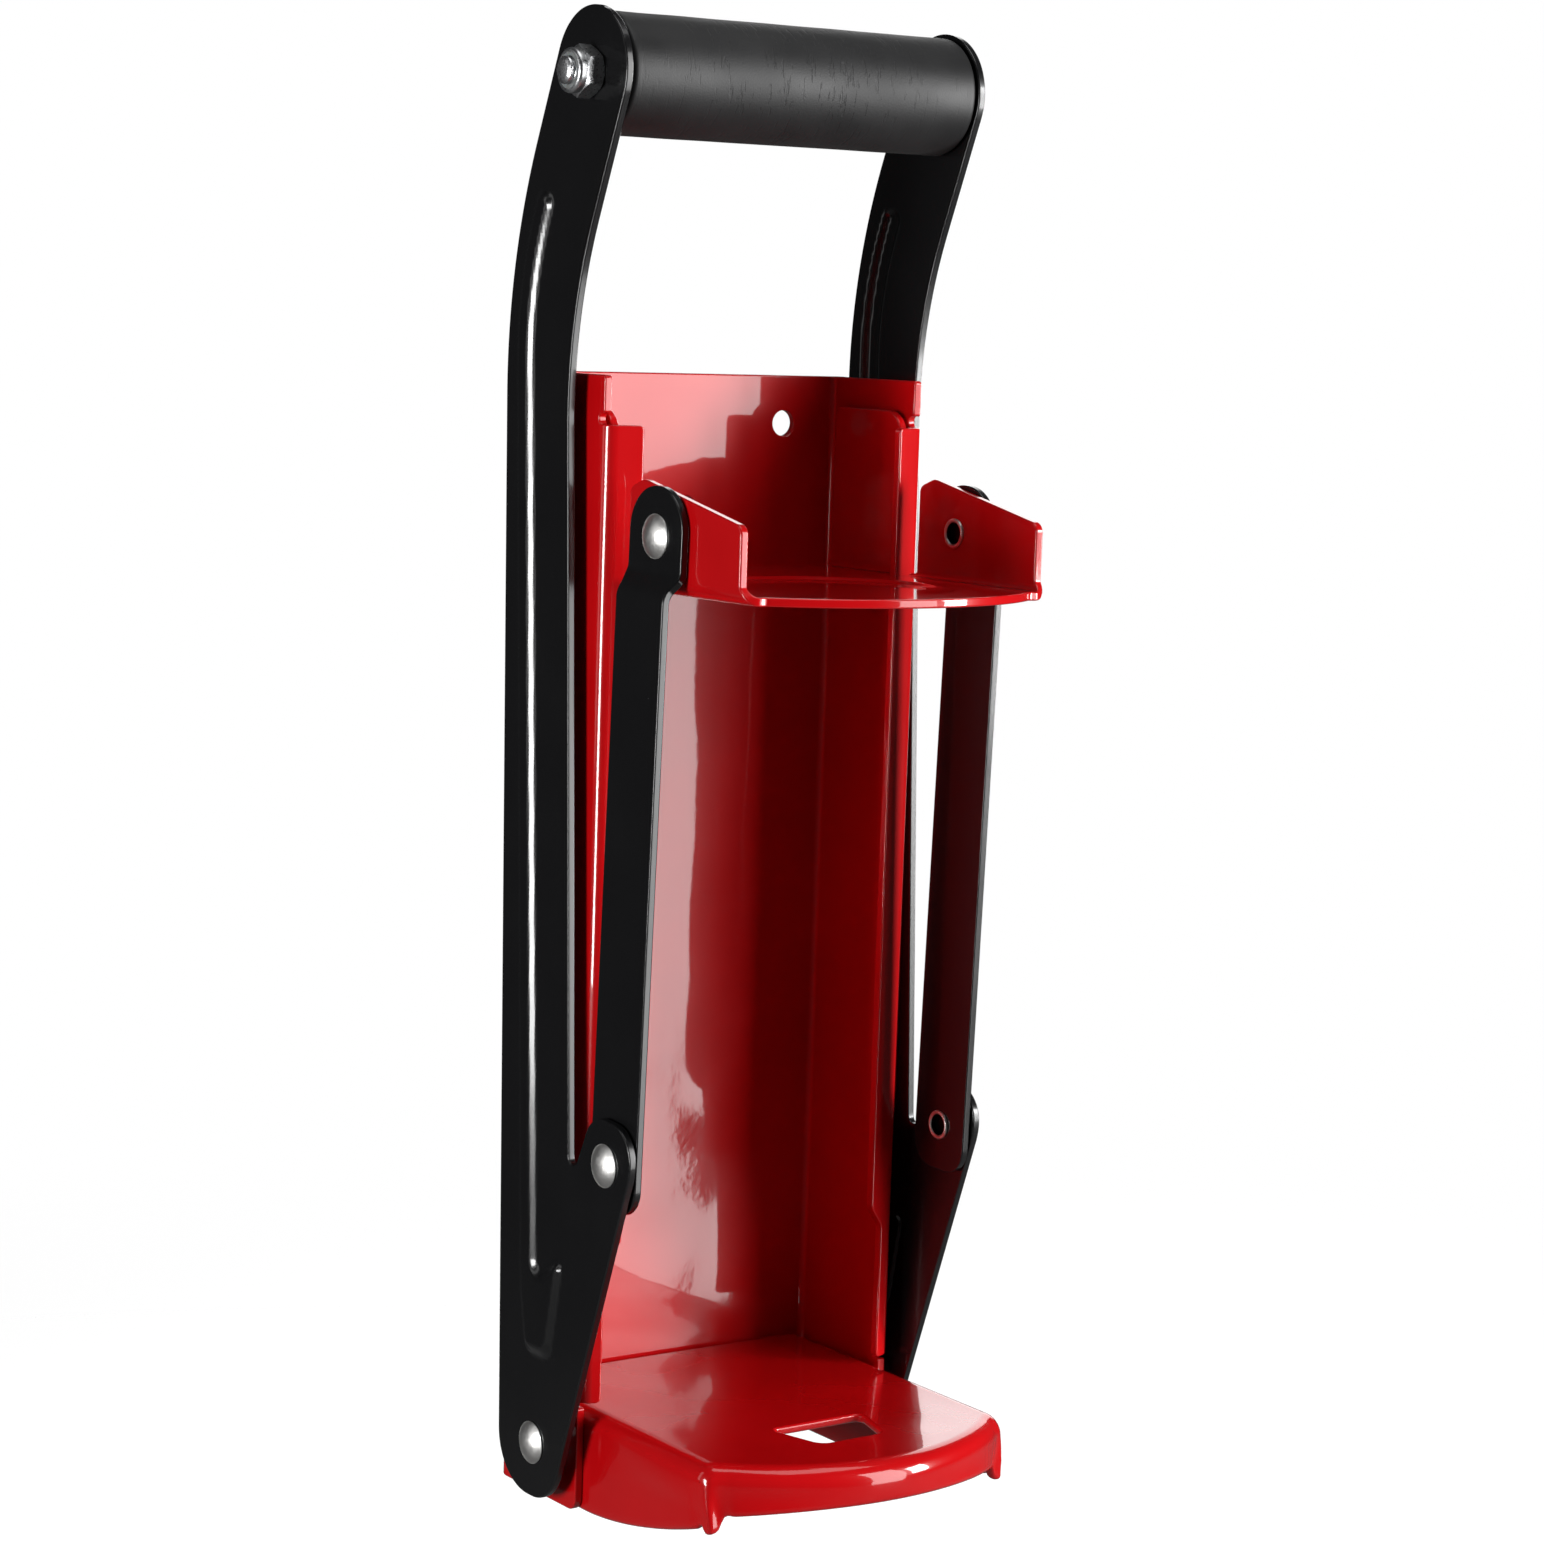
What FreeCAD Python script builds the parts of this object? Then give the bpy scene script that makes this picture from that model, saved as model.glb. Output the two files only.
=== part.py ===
"""Wall-mounted lever press for crushing drinks cans.

A folded steel channel screws to a wall and carries a drawn base at its foot.
A ram slides down the channel, pushed by two links that hang from the lugs of a
two-armed lever.  The lever turns on rivets low in the channel's side walls and
ends in a foam-covered cross handle.

Frame: millimetres.  X runs across the press (right is +), -Y points away from
the wall, +Z is up.  The origin is the centre of the channel's back face, which
is the face that lies on the wall.  Heights are given as drops below the
channel's top edge, because everything on the press is set out from there.
"""
import FreeCAD, Part
import math
import os

# ---------------------------------------------------------------- sizes
# channel
channel_width = 87.0
channel_depth = 33.6
channel_height = 256.5
sheet = 2.0
bend_inside = 1.5
lip_width = 8.3
lip_flare = 2.2
lip_fold_proud = 1.4
lip_top_drop = 10.8
lip_relief = 2.6
lip_narrow_width = 4.6
lip_step_drop = 194.0
lip_step_height = 4.7
lip_foot_gap = 2.0
relief_depth = 2.2
wall_corner_radius = 3.0
screw_radius = 3.0
screw_pair_spacing = 54.2
screw_pair_drop = 11.2
centre_screw_drop = 31.3

# base
base_drop = 233.0
base_reach = 98.0
base_bow = 18.0
base_corner_radius = 3.0
base_edge_radius = 4.0
base_wall_gap = 0.1
base_rear_gap = 1.6
base_bow_share = 0.4
base_least_radius = 0.8
skirt_start = 36.0
skirt_corner_drop = 247.2
tab_drop = 248.2
tab_start = 0.6
tab_lead = 1.0
tab_length = 3.4
tab_tip_rise = 0.4
tab_end_slope = 0.8
skirt_curve_share = 0.6
skirt_curve_lift = 0.36
front_skirt_drop = 242.0
front_skirt_end_drop = 245.0
drain_reach = 72.5
drain_rear_width = 25.0
drain_front_width = 17.0
drain_depth = 14.0
drain_corner = 3.0

# ram
ram_drop = 46.5
ram_side_gap = 0.8
ram_back_gap = 6.8
ear_rear = 40.3
ear_front = 83.2
ear_peak_setback = 5.2
ear_peak_drop = 21.9
ear_nose_drop = 29.8
ear_nose_radius = 2.5
ear_peak_radius = 4.0
ear_rear_fall = 2.0
ear_rear_radius = 2.0
guide_top_drop = 7.0
guide_corner = 6.0
guide_rear_radius = 2.0
lip_slot_gap = 0.7
lip_slot_room = 1.3
lip_slot_rear_room = 0.5
ram_reach = 97.5
dish_radius = 26.0
dish_depth = 0.8
dish_reach = 60.0

# lever and links
strap = 1.8
arm_gap = 3.2
arm_half_width = 14.3
pivot_reach = 22.4
pivot_drop = 242.4
crank_forward = 27.2
crank_up = 70.1
link_forward = 4.4
link_up = 138.5
link_half_width = 9.2
link_head_half_width = 10.3
link_head_rise = 10.9
link_shoulder_drop = 12.0
link_shoulder_height = 3.0
link_shoulder_radius = 4.0
link_foot = 10.7
link_foot_corner = 6.5
link_arm_gap = 0.4
link_ear_gap = 0.3
jog_start = 8.0
jog_height = 4.5
jog_radius = 3.0
end_flat = 0.3
handle_reach = 33.0
handle_rise = 64.7
handle_bolt_offset = 0.8
handle_lean = 22.5
arm_bend_radius = 120.0
arm_wall_gap = 1.0
arm_gauge_drop = 20.0
arm_strap_width = 26.2
arm_foot_drop = 255.0
arm_foot_setback = 8.2
arm_foot_front = 8.3
foot_rear_radius = 13.0
foot_front_radius = 11.0
notch_reach = 35.2
notch_radius = 1.6
notch_drop = 180.5
lug_radius = 9.3
lug_shoulder_back = 5.8
lug_shoulder_rise = 1.2
lug_shoulder_radius = 7.4
lug_nose_reach = 1.5
lug_nose_radius = 8.0
lug_chin_reach = 0.6
lug_chin_drop = 1.0
lug_chin_radius = 16.0
bead_width = 8.0
bead_height = 1.2
bead_setback = 8.6
bead_foot_setback = 19.6
bead_top_rise = 36.0
bead_foot_drop = 208.0
bead_high_shift = 1.2
bead_bend_shift = 0.6
bead_bend_radius = 80.0
bead_hollow_inset = 1.26
boot_ankle_drop = 203.0
boot_ankle_radius = 2.0
boot_toe_reach = 15.6
boot_toe_drop = 194.5
boot_toe_radius = 2.2
boot_sole_reach = 10.4
boot_sole_drop = 222.0
boot_sole_radius = 5.0
boot_heel_shift = 1.0
boot_heel_radius = 4.0
boot_calf_drop = 207.0

# handle
grip_radius = 13.3
grip_end_gap = 0.4
tube_radius = 6.5
tube_bore = 3.4
tube_end_gap = 0.2
soft_gap = 0.3
bolt_radius = 3.0
bolt_end = 7.8
bolt_chamfer = 0.6
hex_flats = 10.0
bolt_head_height = 4.0
nut_height = 4.2
nut_collar_height = 2.0
nut_collar_radius = 4.9
nut_wall = 0.9
insert_recess = 0.3

# rivets
rivet_radius = 3.0
rivet_head_radius = 4.9
rivet_head_height = 1.9
tail_radius = 3.4
tail_height = 0.6
tail_hollow = 2.4
tail_hollow_depth = 1.8
tail_round = 0.45
running_gap = 0.05
face_gap = 0.1
spacer_radius = 7.0

# cutters run past what they cut by this much; hair and speck are for comparing lengths
past = 1.0
hair = 0.01
speck = 1e-6

# ---------------------------------------------------------------- derived
top = channel_height / 2
half_width = channel_width / 2
inner_half = half_width - sheet
arm_inner = half_width + arm_gap
arm_outer = arm_inner + strap
ear_outer = inner_half - ram_side_gap
ear_inner = ear_outer - sheet
link_outer = arm_inner - link_arm_gap
link_upper_inner = ear_outer + link_ear_gap
base_half = inner_half - base_wall_gap
base_side_reach = base_reach - base_bow
rivet_hole = rivet_radius + running_gap
lip_fold_y = -(channel_depth + lip_fold_proud)
lip_free_x = half_width - lip_width
lip_free_y = lip_fold_y - lip_flare

pivot = (-pivot_reach, top - pivot_drop)
lug_pin = (pivot[0] - crank_forward, pivot[1] + crank_up)
ram_pin = (lug_pin[0] - link_forward, lug_pin[1] + link_up)
handle_axis = (-handle_reach, top + handle_rise)


# ---------------------------------------------------------------- outlines
def rounded_edges(points, radii, closed=True):
    """Edges through flat points (3-D vectors), each corner rounded to its radius."""
    count = len(points)
    starts = []
    ends = []
    middles = []
    for i, corner in enumerate(points):
        radius = radii[i]
        on_end = not closed and i in (0, count - 1)
        if radius == 0 or on_end:
            starts.append(corner)
            ends.append(corner)
            middles.append(None)
            continue
        back = (points[i - 1] - corner).normalize()
        ahead = (points[(i + 1) % count] - corner).normalize()
        half = back.getAngle(ahead) / 2
        reach = radius / math.tan(half)
        bisector = (back + ahead).normalize()
        starts.append(corner + back * reach)
        ends.append(corner + ahead * reach)
        middles.append(corner + bisector * (radius / math.sin(half) - radius))
    edges = []
    last = count if closed else count - 1
    for i in range(count):
        if middles[i] is not None:
            edges.append(Part.Arc(starts[i], middles[i], ends[i]).toShape())
        if i < last:
            following = starts[(i + 1) % count]
            if (following - ends[i]).Length > speck:
                edges.append(Part.LineSegment(ends[i], following).toShape())
    return edges


def side_face(outline, x):
    """A face in the plane X = x from (y, z, corner radius) points."""
    points = [FreeCAD.Vector(x, y, z) for y, z, radius in outline]
    radii = [radius for y, z, radius in outline]
    return Part.Face(Part.Wire(rounded_edges(points, radii)))


def side_plate(outline, x_low, x_high):
    """A plate that fills x_low to x_high behind a side outline."""
    return side_face(outline, x_low).extrude(FreeCAD.Vector(x_high - x_low, 0, 0))


def flat_plate(outline, z_low, z_high):
    """A level plate from (x, y, corner radius) points."""
    points = [FreeCAD.Vector(x, y, z_low) for x, y, radius in outline]
    radii = [radius for x, y, radius in outline]
    face = Part.Face(Part.Wire(rounded_edges(points, radii)))
    return face.extrude(FreeCAD.Vector(0, 0, z_high - z_low))


def offset_line(points, distance, normal):
    """An open polyline moved sideways by distance; normal is the plane's."""
    steps = [(b - a).normalize() for a, b in zip(points, points[1:])]
    sides = [normal.cross(step) for step in steps]
    moved = [points[0] + sides[0] * distance]
    for i in range(1, len(points) - 1):
        bisector = (sides[i - 1] + sides[i]).normalize()
        moved.append(points[i] + bisector * (distance / bisector.dot(sides[i])))
    moved.append(points[-1] + sides[-1] * distance)
    return moved


def folded_face(points, thickness, inside, normal):
    """The section of a folded sheet: points are its outer face, the metal lies to
    the left of the path about normal."""
    inner = offset_line(points, thickness, normal)
    outer_edges = rounded_edges(points, [inside + thickness] * len(points), closed=False)
    inner_edges = rounded_edges(inner, [inside] * len(inner), closed=False)
    caps = [
        Part.LineSegment(points[0], inner[0]).toShape(),
        Part.LineSegment(points[-1], inner[-1]).toShape(),
    ]
    wire = Part.Wire(Part.__sortEdges__(outer_edges + inner_edges + caps))
    return Part.Face(wire)


def box(x0, x1, y0, y1, z0, z1):
    """A box between two corners."""
    return Part.makeBox(x1 - x0, y1 - y0, z1 - z0, FreeCAD.Vector(x0, y0, z0))


def bar(x0, x1, centre, radius):
    """A round bar along X between x0 and x1, centred on (y, z)."""
    start = FreeCAD.Vector(min(x0, x1), centre[0], centre[1])
    return Part.makeCylinder(radius, abs(x1 - x0), start, FreeCAD.Vector(1, 0, 0))


def mirrored(shape):
    """The same piece on the other side of the press."""
    return shape.mirror(FreeCAD.Vector(0, 0, 0), FreeCAD.Vector(1, 0, 0))


def save(name, shape):
    """Write one node, cleaned of split faces."""
    clean = shape.removeSplitter()
    clean.exportStep("parts/" + name + ".step")
    print(name, len(clean.Solids), round(clean.Volume, 1))


# ---------------------------------------------------------------- channel
def channel_section(with_lips):
    """The channel's section at the top of the press, looking down."""
    def at(x, y):
        return FreeCAD.Vector(x, y, top)
    path = [at(-half_width, 0), at(half_width, 0)]
    if with_lips:
        path.insert(0, at(-half_width, lip_fold_y))
        path.insert(0, at(-lip_free_x, lip_free_y))
        path.append(at(half_width, lip_fold_y))
        path.append(at(lip_free_x, lip_free_y))
    else:
        path.insert(0, at(-half_width, -channel_depth))
        path.append(at(half_width, -channel_depth))
    return folded_face(path, sheet, bend_inside, FreeCAD.Vector(0, 0, -1))


def back_channel():
    """Folded channel with inward lips down most of its front edges."""
    plain = channel_section(False).extrude(FreeCAD.Vector(0, 0, -channel_height))
    lips = channel_section(True)
    lip_length = base_drop - lip_top_drop - lip_foot_gap
    lips = lips.extrude(FreeCAD.Vector(0, 0, -lip_length))
    lips.translate(FreeCAD.Vector(0, 0, -lip_top_drop))
    shape = plain.fuse(lips)

    far = channel_depth + lip_fold_proud + lip_flare + sheet + past
    relief_top = top - lip_top_drop + lip_relief
    step_top = top - lip_step_drop
    step_low = step_top - lip_step_height
    narrow = half_width - lip_narrow_width
    for side in (-1, 1):
        # the relief slit that frees the lip from the plain edge above it
        relief = box(inner_half - past, half_width + past, -far, relief_depth - channel_depth,
                     top - lip_top_drop, relief_top)
        # the lip is narrower beside the base
        points = [
            FreeCAD.Vector(lip_free_x - past, -far, step_top),
            FreeCAD.Vector(lip_free_x, -far, step_top),
            FreeCAD.Vector(narrow, -far, step_low),
            FreeCAD.Vector(narrow, -far, -top),
            FreeCAD.Vector(lip_free_x - past, -far, -top),
        ]
        face = Part.Face(Part.makePolygon(points + points[:1]))
        trim = face.extrude(FreeCAD.Vector(0, far - channel_depth + relief_depth, 0))
        if side < 0:
            relief = mirrored(relief)
            trim = mirrored(trim)
        shape = shape.cut(relief).cut(trim)

    # foot of each side wall: the front lower corner is rounded
    foot = wall_corner_radius
    for x in (-half_width - past, inner_half - past):
        y = -channel_depth
        far_x = x + sheet + 2 * past
        block = box(x, far_x, y - past, y + foot, -top - past, -top + foot)
        round_bar = bar(x, far_x, (y + foot, -top + foot), foot)
        shape = shape.cut(block.cut(round_bar))

    # screw holes in the back, and the lever's pivot holes in the side walls
    holes = [(x, top - screw_pair_drop) for x in (-screw_pair_spacing / 2, screw_pair_spacing / 2)]
    holes.append((0.0, top - centre_screw_drop))
    for x, z in holes:
        start = FreeCAD.Vector(x, -sheet - past, z)
        drill = Part.makeCylinder(screw_radius, sheet + 2 * past, start, FreeCAD.Vector(0, 1, 0))
        shape = shape.cut(drill)
    return shape.cut(bar(-half_width - past, half_width + past, pivot, rivet_hole))


# ---------------------------------------------------------------- base
def base_planform(inset, edge):
    """Top outline of the base, moved in by inset: straight sides and a bowed front."""
    half = base_half - inset
    side = -(base_side_reach - inset * base_bow_share)
    nose = -(base_reach - inset)
    corner_left = FreeCAD.Vector(-half, side, 0)
    corner_right = FreeCAD.Vector(half, side, 0)
    rear_y = -(sheet + base_rear_gap)
    rear_left = FreeCAD.Vector(-half, rear_y + edge, 0)
    rear_right = FreeCAD.Vector(half, rear_y + edge, 0)
    edges = [
        Part.LineSegment(rear_left, corner_left).toShape(),
        Part.Arc(corner_left, FreeCAD.Vector(0, nose, 0), corner_right).toShape(),
        Part.LineSegment(corner_right, rear_right).toShape(),
        Part.LineSegment(rear_right, rear_left).toShape(),
    ]
    return Part.Face(Part.Wire(edges))


def base_block(inset, height, edge_radius, past_rear):
    """The base as a solid cushion: planform pulled down, corners and top edge rounded."""
    face = base_planform(inset, past_rear)
    face.translate(FreeCAD.Vector(0, 0, -top - past))
    solid = face.extrude(FreeCAD.Vector(0, 0, height + past))
    corners = []
    for edge in solid.Edges:
        middle = edge.CenterOfMass
        upright = abs(edge.Vertexes[0].Z - edge.Vertexes[-1].Z) > height / 2
        if upright and middle.y < -base_side_reach / 2:
            corners.append(edge)
    solid = solid.makeFillet(max(base_corner_radius - inset, base_least_radius), corners)
    rim = []
    z_rim = -top + height
    for edge in solid.Edges:
        level = all(abs(vertex.Z - z_rim) < hair for vertex in edge.Vertexes)
        if level and edge.CenterOfMass.y < -skirt_start / 2:
            rim.append(edge)
    return solid.makeFillet(edge_radius, rim)


def base_plate():
    """Drawn base: a rounded plate with a skirt, a drain window and pivot holes."""
    height = channel_height - base_drop
    outside = base_block(0.0, height, base_edge_radius, 0.0)
    inside = base_block(sheet, height - sheet, base_edge_radius - sheet, sheet + base_rear_gap)
    shape = outside.cut(inside)

    # the skirt's lower edge rises in a long curve to a small tab at each front corner
    low = -top - 2 * past
    corner_y = -base_side_reach + tab_lead
    tab_y = -base_side_reach - tab_start
    tab_end = tab_y - tab_length
    middle_y = -skirt_start + skirt_curve_share * (corner_y + skirt_start)
    middle_z = -top + skirt_curve_lift * (channel_height - skirt_corner_drop)
    curve = Part.Arc(
        FreeCAD.Vector(0, -skirt_start, -top),
        FreeCAD.Vector(0, middle_y, middle_z),
        FreeCAD.Vector(0, corner_y, top - skirt_corner_drop),
    ).toShape()
    points = [
        (corner_y, top - skirt_corner_drop),
        (tab_y, top - tab_drop),
        (tab_end, top - tab_drop + tab_tip_rise),
        (tab_end - tab_end_slope, top - front_skirt_end_drop),
        (-base_reach - past, top - front_skirt_drop),
        (-base_reach - past, low),
        (-skirt_start, low),
        (-skirt_start, -top),
    ]
    vectors = [FreeCAD.Vector(0, y, z) for y, z in points]
    lines = [Part.LineSegment(a, b).toShape() for a, b in zip(vectors, vectors[1:])]
    trim = Part.Face(Part.Wire([curve] + lines))
    trim.translate(FreeCAD.Vector(-half_width, 0, 0))
    shape = shape.cut(trim.extrude(FreeCAD.Vector(channel_width, 0, 0)))
    shape = shape.cut(box(-half_width, half_width, -skirt_start, past, low, -top))

    rear_y = -drain_reach + drain_depth / 2
    front_y = -drain_reach - drain_depth / 2
    window = flat_plate([
        (-drain_rear_width / 2, rear_y, drain_corner / 2),
        (-drain_front_width / 2, front_y, drain_corner),
        (drain_front_width / 2, front_y, drain_corner),
        (drain_rear_width / 2, rear_y, drain_corner / 2),
    ], top - base_drop - sheet - past, top - base_drop + past)
    shape = shape.cut(window)
    return shape.cut(bar(-half_width, half_width, pivot, rivet_hole))


# ---------------------------------------------------------------- ram
def ram_section():
    """The ram's section across the press: two ears turned up from the plate."""
    def at(x, z):
        return FreeCAD.Vector(x, -ear_front, z)
    low = top - ram_drop
    path = [at(-ear_outer, top), at(-ear_outer, low), at(ear_outer, low), at(ear_outer, top)]
    return folded_face(path, sheet, bend_inside, FreeCAD.Vector(0, -1, 0))


def ram_plate():
    """Pressing plate with two ears in front of the lips and two guides behind."""
    low = top - ram_drop
    long_u = ram_section().extrude(FreeCAD.Vector(0, ear_front - ram_back_gap, 0))
    peak_y = -ear_rear - ear_peak_setback
    slot_rear = lip_fold_y + sheet + lip_slot_rear_room
    slot_front = lip_free_y - lip_slot_room
    guide_rear = -ram_back_gap
    profile = side_plate([
        (-ear_front, low - past, 0),
        (-ear_front, top - ear_nose_drop, ear_nose_radius),
        (peak_y, top - ear_peak_drop, ear_peak_radius),
        (-ear_rear, top - ear_peak_drop - ear_rear_fall, ear_rear_radius),
        (-ear_rear, low + sheet, 0),
        (slot_rear, low + sheet, 0),
        (slot_rear, top - guide_top_drop, guide_corner),
        (guide_rear, top - guide_top_drop, guide_rear_radius),
        (guide_rear, low - past, 0),
    ], -half_width, half_width)
    shape = long_u.common(profile)

    # bowed nose of the plate
    nose_left = FreeCAD.Vector(-ear_outer + sheet, -ear_front, low)
    nose_right = FreeCAD.Vector(ear_outer - sheet, -ear_front, low)
    arc = Part.Arc(nose_left, FreeCAD.Vector(0, -ram_reach, low), nose_right).toShape()
    chord = Part.LineSegment(nose_right, nose_left).toShape()
    nose = Part.Face(Part.Wire([arc, chord])).extrude(FreeCAD.Vector(0, 0, sheet))
    shape = shape.fuse(nose)

    # slots that clear the channel's lips
    slot_x = lip_free_x - lip_slot_gap
    for x0, x1 in ((slot_x, half_width), (-half_width, -slot_x)):
        shape = shape.cut(box(x0, x1, slot_front, slot_rear, low - past, top))

    # a shallow round dish stiffens the plate
    centre = FreeCAD.Vector(0, -dish_reach, low - dish_depth)
    boss = Part.makeCylinder(dish_radius + sheet / 2, dish_depth, centre)
    above = FreeCAD.Vector(0, -dish_reach, low + sheet - dish_depth)
    hollow = Part.makeCylinder(dish_radius - sheet / 2, dish_depth + past, above)
    shape = shape.fuse(boss).cut(hollow)
    return shape.cut(bar(-half_width, half_width, ram_pin, rivet_hole))


# ---------------------------------------------------------------- lever
def lean_point(along, across):
    """A point in the arm's leaning top end: along the arm past the handle's axis,
    and across it towards the wall."""
    lean = math.radians(handle_lean)
    y = handle_axis[0] - along * math.sin(lean) + across * math.cos(lean)
    z = handle_axis[1] + along * math.cos(lean) + across * math.sin(lean)
    return y + handle_bolt_offset, z


def crossing(a, b, c, d):
    """Where the line a-b meets the line c-d."""
    (ay, az), (by, bz), (cy, cz), (dy, dz) = a, b, c, d
    run_1, rise_1, run_2, rise_2 = by - ay, bz - az, dy - cy, dz - cz
    share = ((cy - ay) * rise_2 - (cz - az) * run_2) / (run_1 * rise_2 - rise_1 * run_2)
    return ay + share * run_1, az + share * rise_1


def arm_outline():
    """Side outline of an arm, from its foot up the back edge and down the front."""
    foot_rear = (-arm_foot_setback, top - arm_foot_drop)
    rear_high = (-arm_wall_gap, top - arm_gauge_drop)
    rear_bend = crossing(foot_rear, rear_high, lean_point(0, arm_half_width),
                         lean_point(-handle_rise, arm_half_width))
    notch = (-notch_reach, top - notch_drop)
    front_high = (-arm_wall_gap - arm_strap_width, top - arm_gauge_drop)
    front_bend = crossing(notch, front_high, lean_point(0, -arm_half_width),
                          lean_point(-handle_rise, -arm_half_width))
    lug_y, lug_z = lug_pin
    end_radius = arm_half_width - end_flat
    return [
        foot_rear + (foot_rear_radius,),
        rear_bend + (arm_bend_radius + arm_half_width,),
        lean_point(arm_half_width, arm_half_width) + (end_radius,),
        lean_point(arm_half_width, -arm_half_width) + (end_radius,),
        front_bend + (arm_bend_radius - arm_half_width,),
        notch + (notch_radius,),
        (lug_y + lug_shoulder_back, lug_z + lug_radius + lug_shoulder_rise, lug_shoulder_radius),
        (lug_y - lug_radius - lug_nose_reach, lug_z + lug_radius, lug_nose_radius),
        (lug_y - lug_radius - lug_chin_reach, lug_z - lug_chin_drop, lug_chin_radius),
        (pivot[0] - arm_foot_front, top - arm_foot_drop, foot_front_radius),
    ]


def bead_outline(inset):
    """Stiffening bead: it follows the back edge and ends in a boot above the pivot."""
    half = bead_width / 2 - inset
    end_radius = half - end_flat
    high = (-bead_setback - bead_high_shift, top - arm_gauge_drop)
    low = (-bead_foot_setback, top - bead_foot_drop)
    across = arm_half_width - bead_setback - bead_bend_shift
    tip_along = -(handle_rise - bead_top_rise)
    front_bend = crossing((high[0] - half, high[1]), (low[0] - half, low[1]),
                          lean_point(0, across - half), lean_point(tip_along, across - half))
    rear_bend = crossing((high[0] + half, high[1]), (low[0] + half, low[1]),
                         lean_point(0, across + half), lean_point(tip_along, across + half))
    toe = (low[0] - boot_toe_reach + inset, top - boot_toe_drop - inset)
    sole_z = top - boot_sole_drop + inset
    heel_y = low[0] + boot_heel_shift - inset
    return [
        lean_point(tip_along - inset, across + half) + (end_radius,),
        lean_point(tip_along - inset, across - half) + (end_radius,),
        front_bend + (bead_bend_radius - half,),
        (low[0] - half, top - boot_ankle_drop - inset, boot_ankle_radius),
        toe + (boot_toe_radius,),
        (low[0] - boot_sole_reach + inset, sole_z, boot_sole_radius),
        (heel_y, sole_z, boot_heel_radius),
        (low[0] + half, top - boot_calf_drop, boot_heel_radius),
        rear_bend + (bead_bend_radius + half,),
    ]


def left_arm():
    """Left arm: flat strap with an outward bead, hollow behind."""
    shape = side_plate(arm_outline(), -arm_outer, -arm_inner)
    shape = shape.fuse(side_plate(bead_outline(0.0), -arm_outer - bead_height, -arm_outer))
    hollow = side_plate(bead_outline(bead_hollow_inset), -arm_inner - bead_height, -arm_inner)
    shape = shape.cut(hollow)
    for centre, radius in (
        (pivot, rivet_hole),
        (lug_pin, rivet_hole),
        (handle_axis, bolt_radius + running_gap),
    ):
        shape = shape.cut(bar(-arm_outer - past, -arm_inner + past, centre, radius))
    return shape


def left_link():
    """Left link: a strap with its upper end set in against the ram's ear."""
    reach = link_outer - strap - link_upper_inner
    lug = FreeCAD.Vector(0, lug_pin[0], lug_pin[1])
    pin = FreeCAD.Vector(0, ram_pin[0], ram_pin[1])
    length = (pin - lug).Length
    lower_outer = -link_outer
    upper_outer = lower_outer + reach
    jog_low = length - jog_start - jog_height
    jog_high = length - jog_start
    # section in the X-Z plane, drawn upright and then leaned onto the pins
    path = [
        FreeCAD.Vector(lower_outer, 0, -link_foot),
        FreeCAD.Vector(lower_outer, 0, jog_low),
        FreeCAD.Vector(upper_outer, 0, jog_high),
        FreeCAD.Vector(upper_outer, 0, length + link_head_rise),
    ]
    section = jogged_section(path)
    section.translate(FreeCAD.Vector(0, -link_head_half_width - past, 0))
    strip = section.extrude(FreeCAD.Vector(0, 2 * (link_head_half_width + past), 0))
    shoulder_low = length - link_shoulder_drop
    rear_edge = [
        (-link_half_width, -link_foot, link_foot_corner),
        (-link_half_width, shoulder_low, link_shoulder_radius),
        (-link_head_half_width, shoulder_low + link_shoulder_height, link_shoulder_radius),
        (-link_head_half_width, length + link_head_rise, link_head_half_width - end_flat),
    ]
    outline = rear_edge + [(-y, z, radius) for y, z, radius in reversed(rear_edge)]
    shape = strip.common(side_plate(outline, -arm_outer, -ear_inner))
    for z in (0, length):
        shape = shape.cut(bar(-arm_outer, -ear_inner, (0, z), rivet_hole))
    lean = math.degrees(math.atan2(link_forward, link_up))
    shape.rotate(FreeCAD.Vector(0, 0, 0), FreeCAD.Vector(1, 0, 0), lean)
    shape.translate(lug)
    return shape


def jogged_section(path):
    """Strap section through an S-bend: outer face along path, metal towards +X."""
    inner = offset_line(path, strap, FreeCAD.Vector(0, 1, 0))
    radii = [0, jog_radius, jog_radius, 0]
    outer_edges = rounded_edges(path, radii, closed=False)
    inner_edges = rounded_edges(inner, radii, closed=False)
    caps = [
        Part.LineSegment(path[0], inner[0]).toShape(),
        Part.LineSegment(path[-1], inner[-1]).toShape(),
    ]
    return Part.Face(Part.Wire(Part.__sortEdges__(outer_edges + inner_edges + caps)))


# ---------------------------------------------------------------- handle
def grip_sleeve():
    """Foam sleeve over the handle tube."""
    end = arm_inner - grip_end_gap
    sleeve = bar(-end, end, handle_axis, grip_radius)
    return sleeve.cut(bar(-end, end, handle_axis, tube_radius + soft_gap))


def handle_tube():
    """Steel tube that keeps the two arms apart."""
    end = arm_inner - tube_end_gap
    return bar(-end, end, handle_axis, tube_radius).cut(bar(-end, end, handle_axis, tube_bore))


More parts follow.
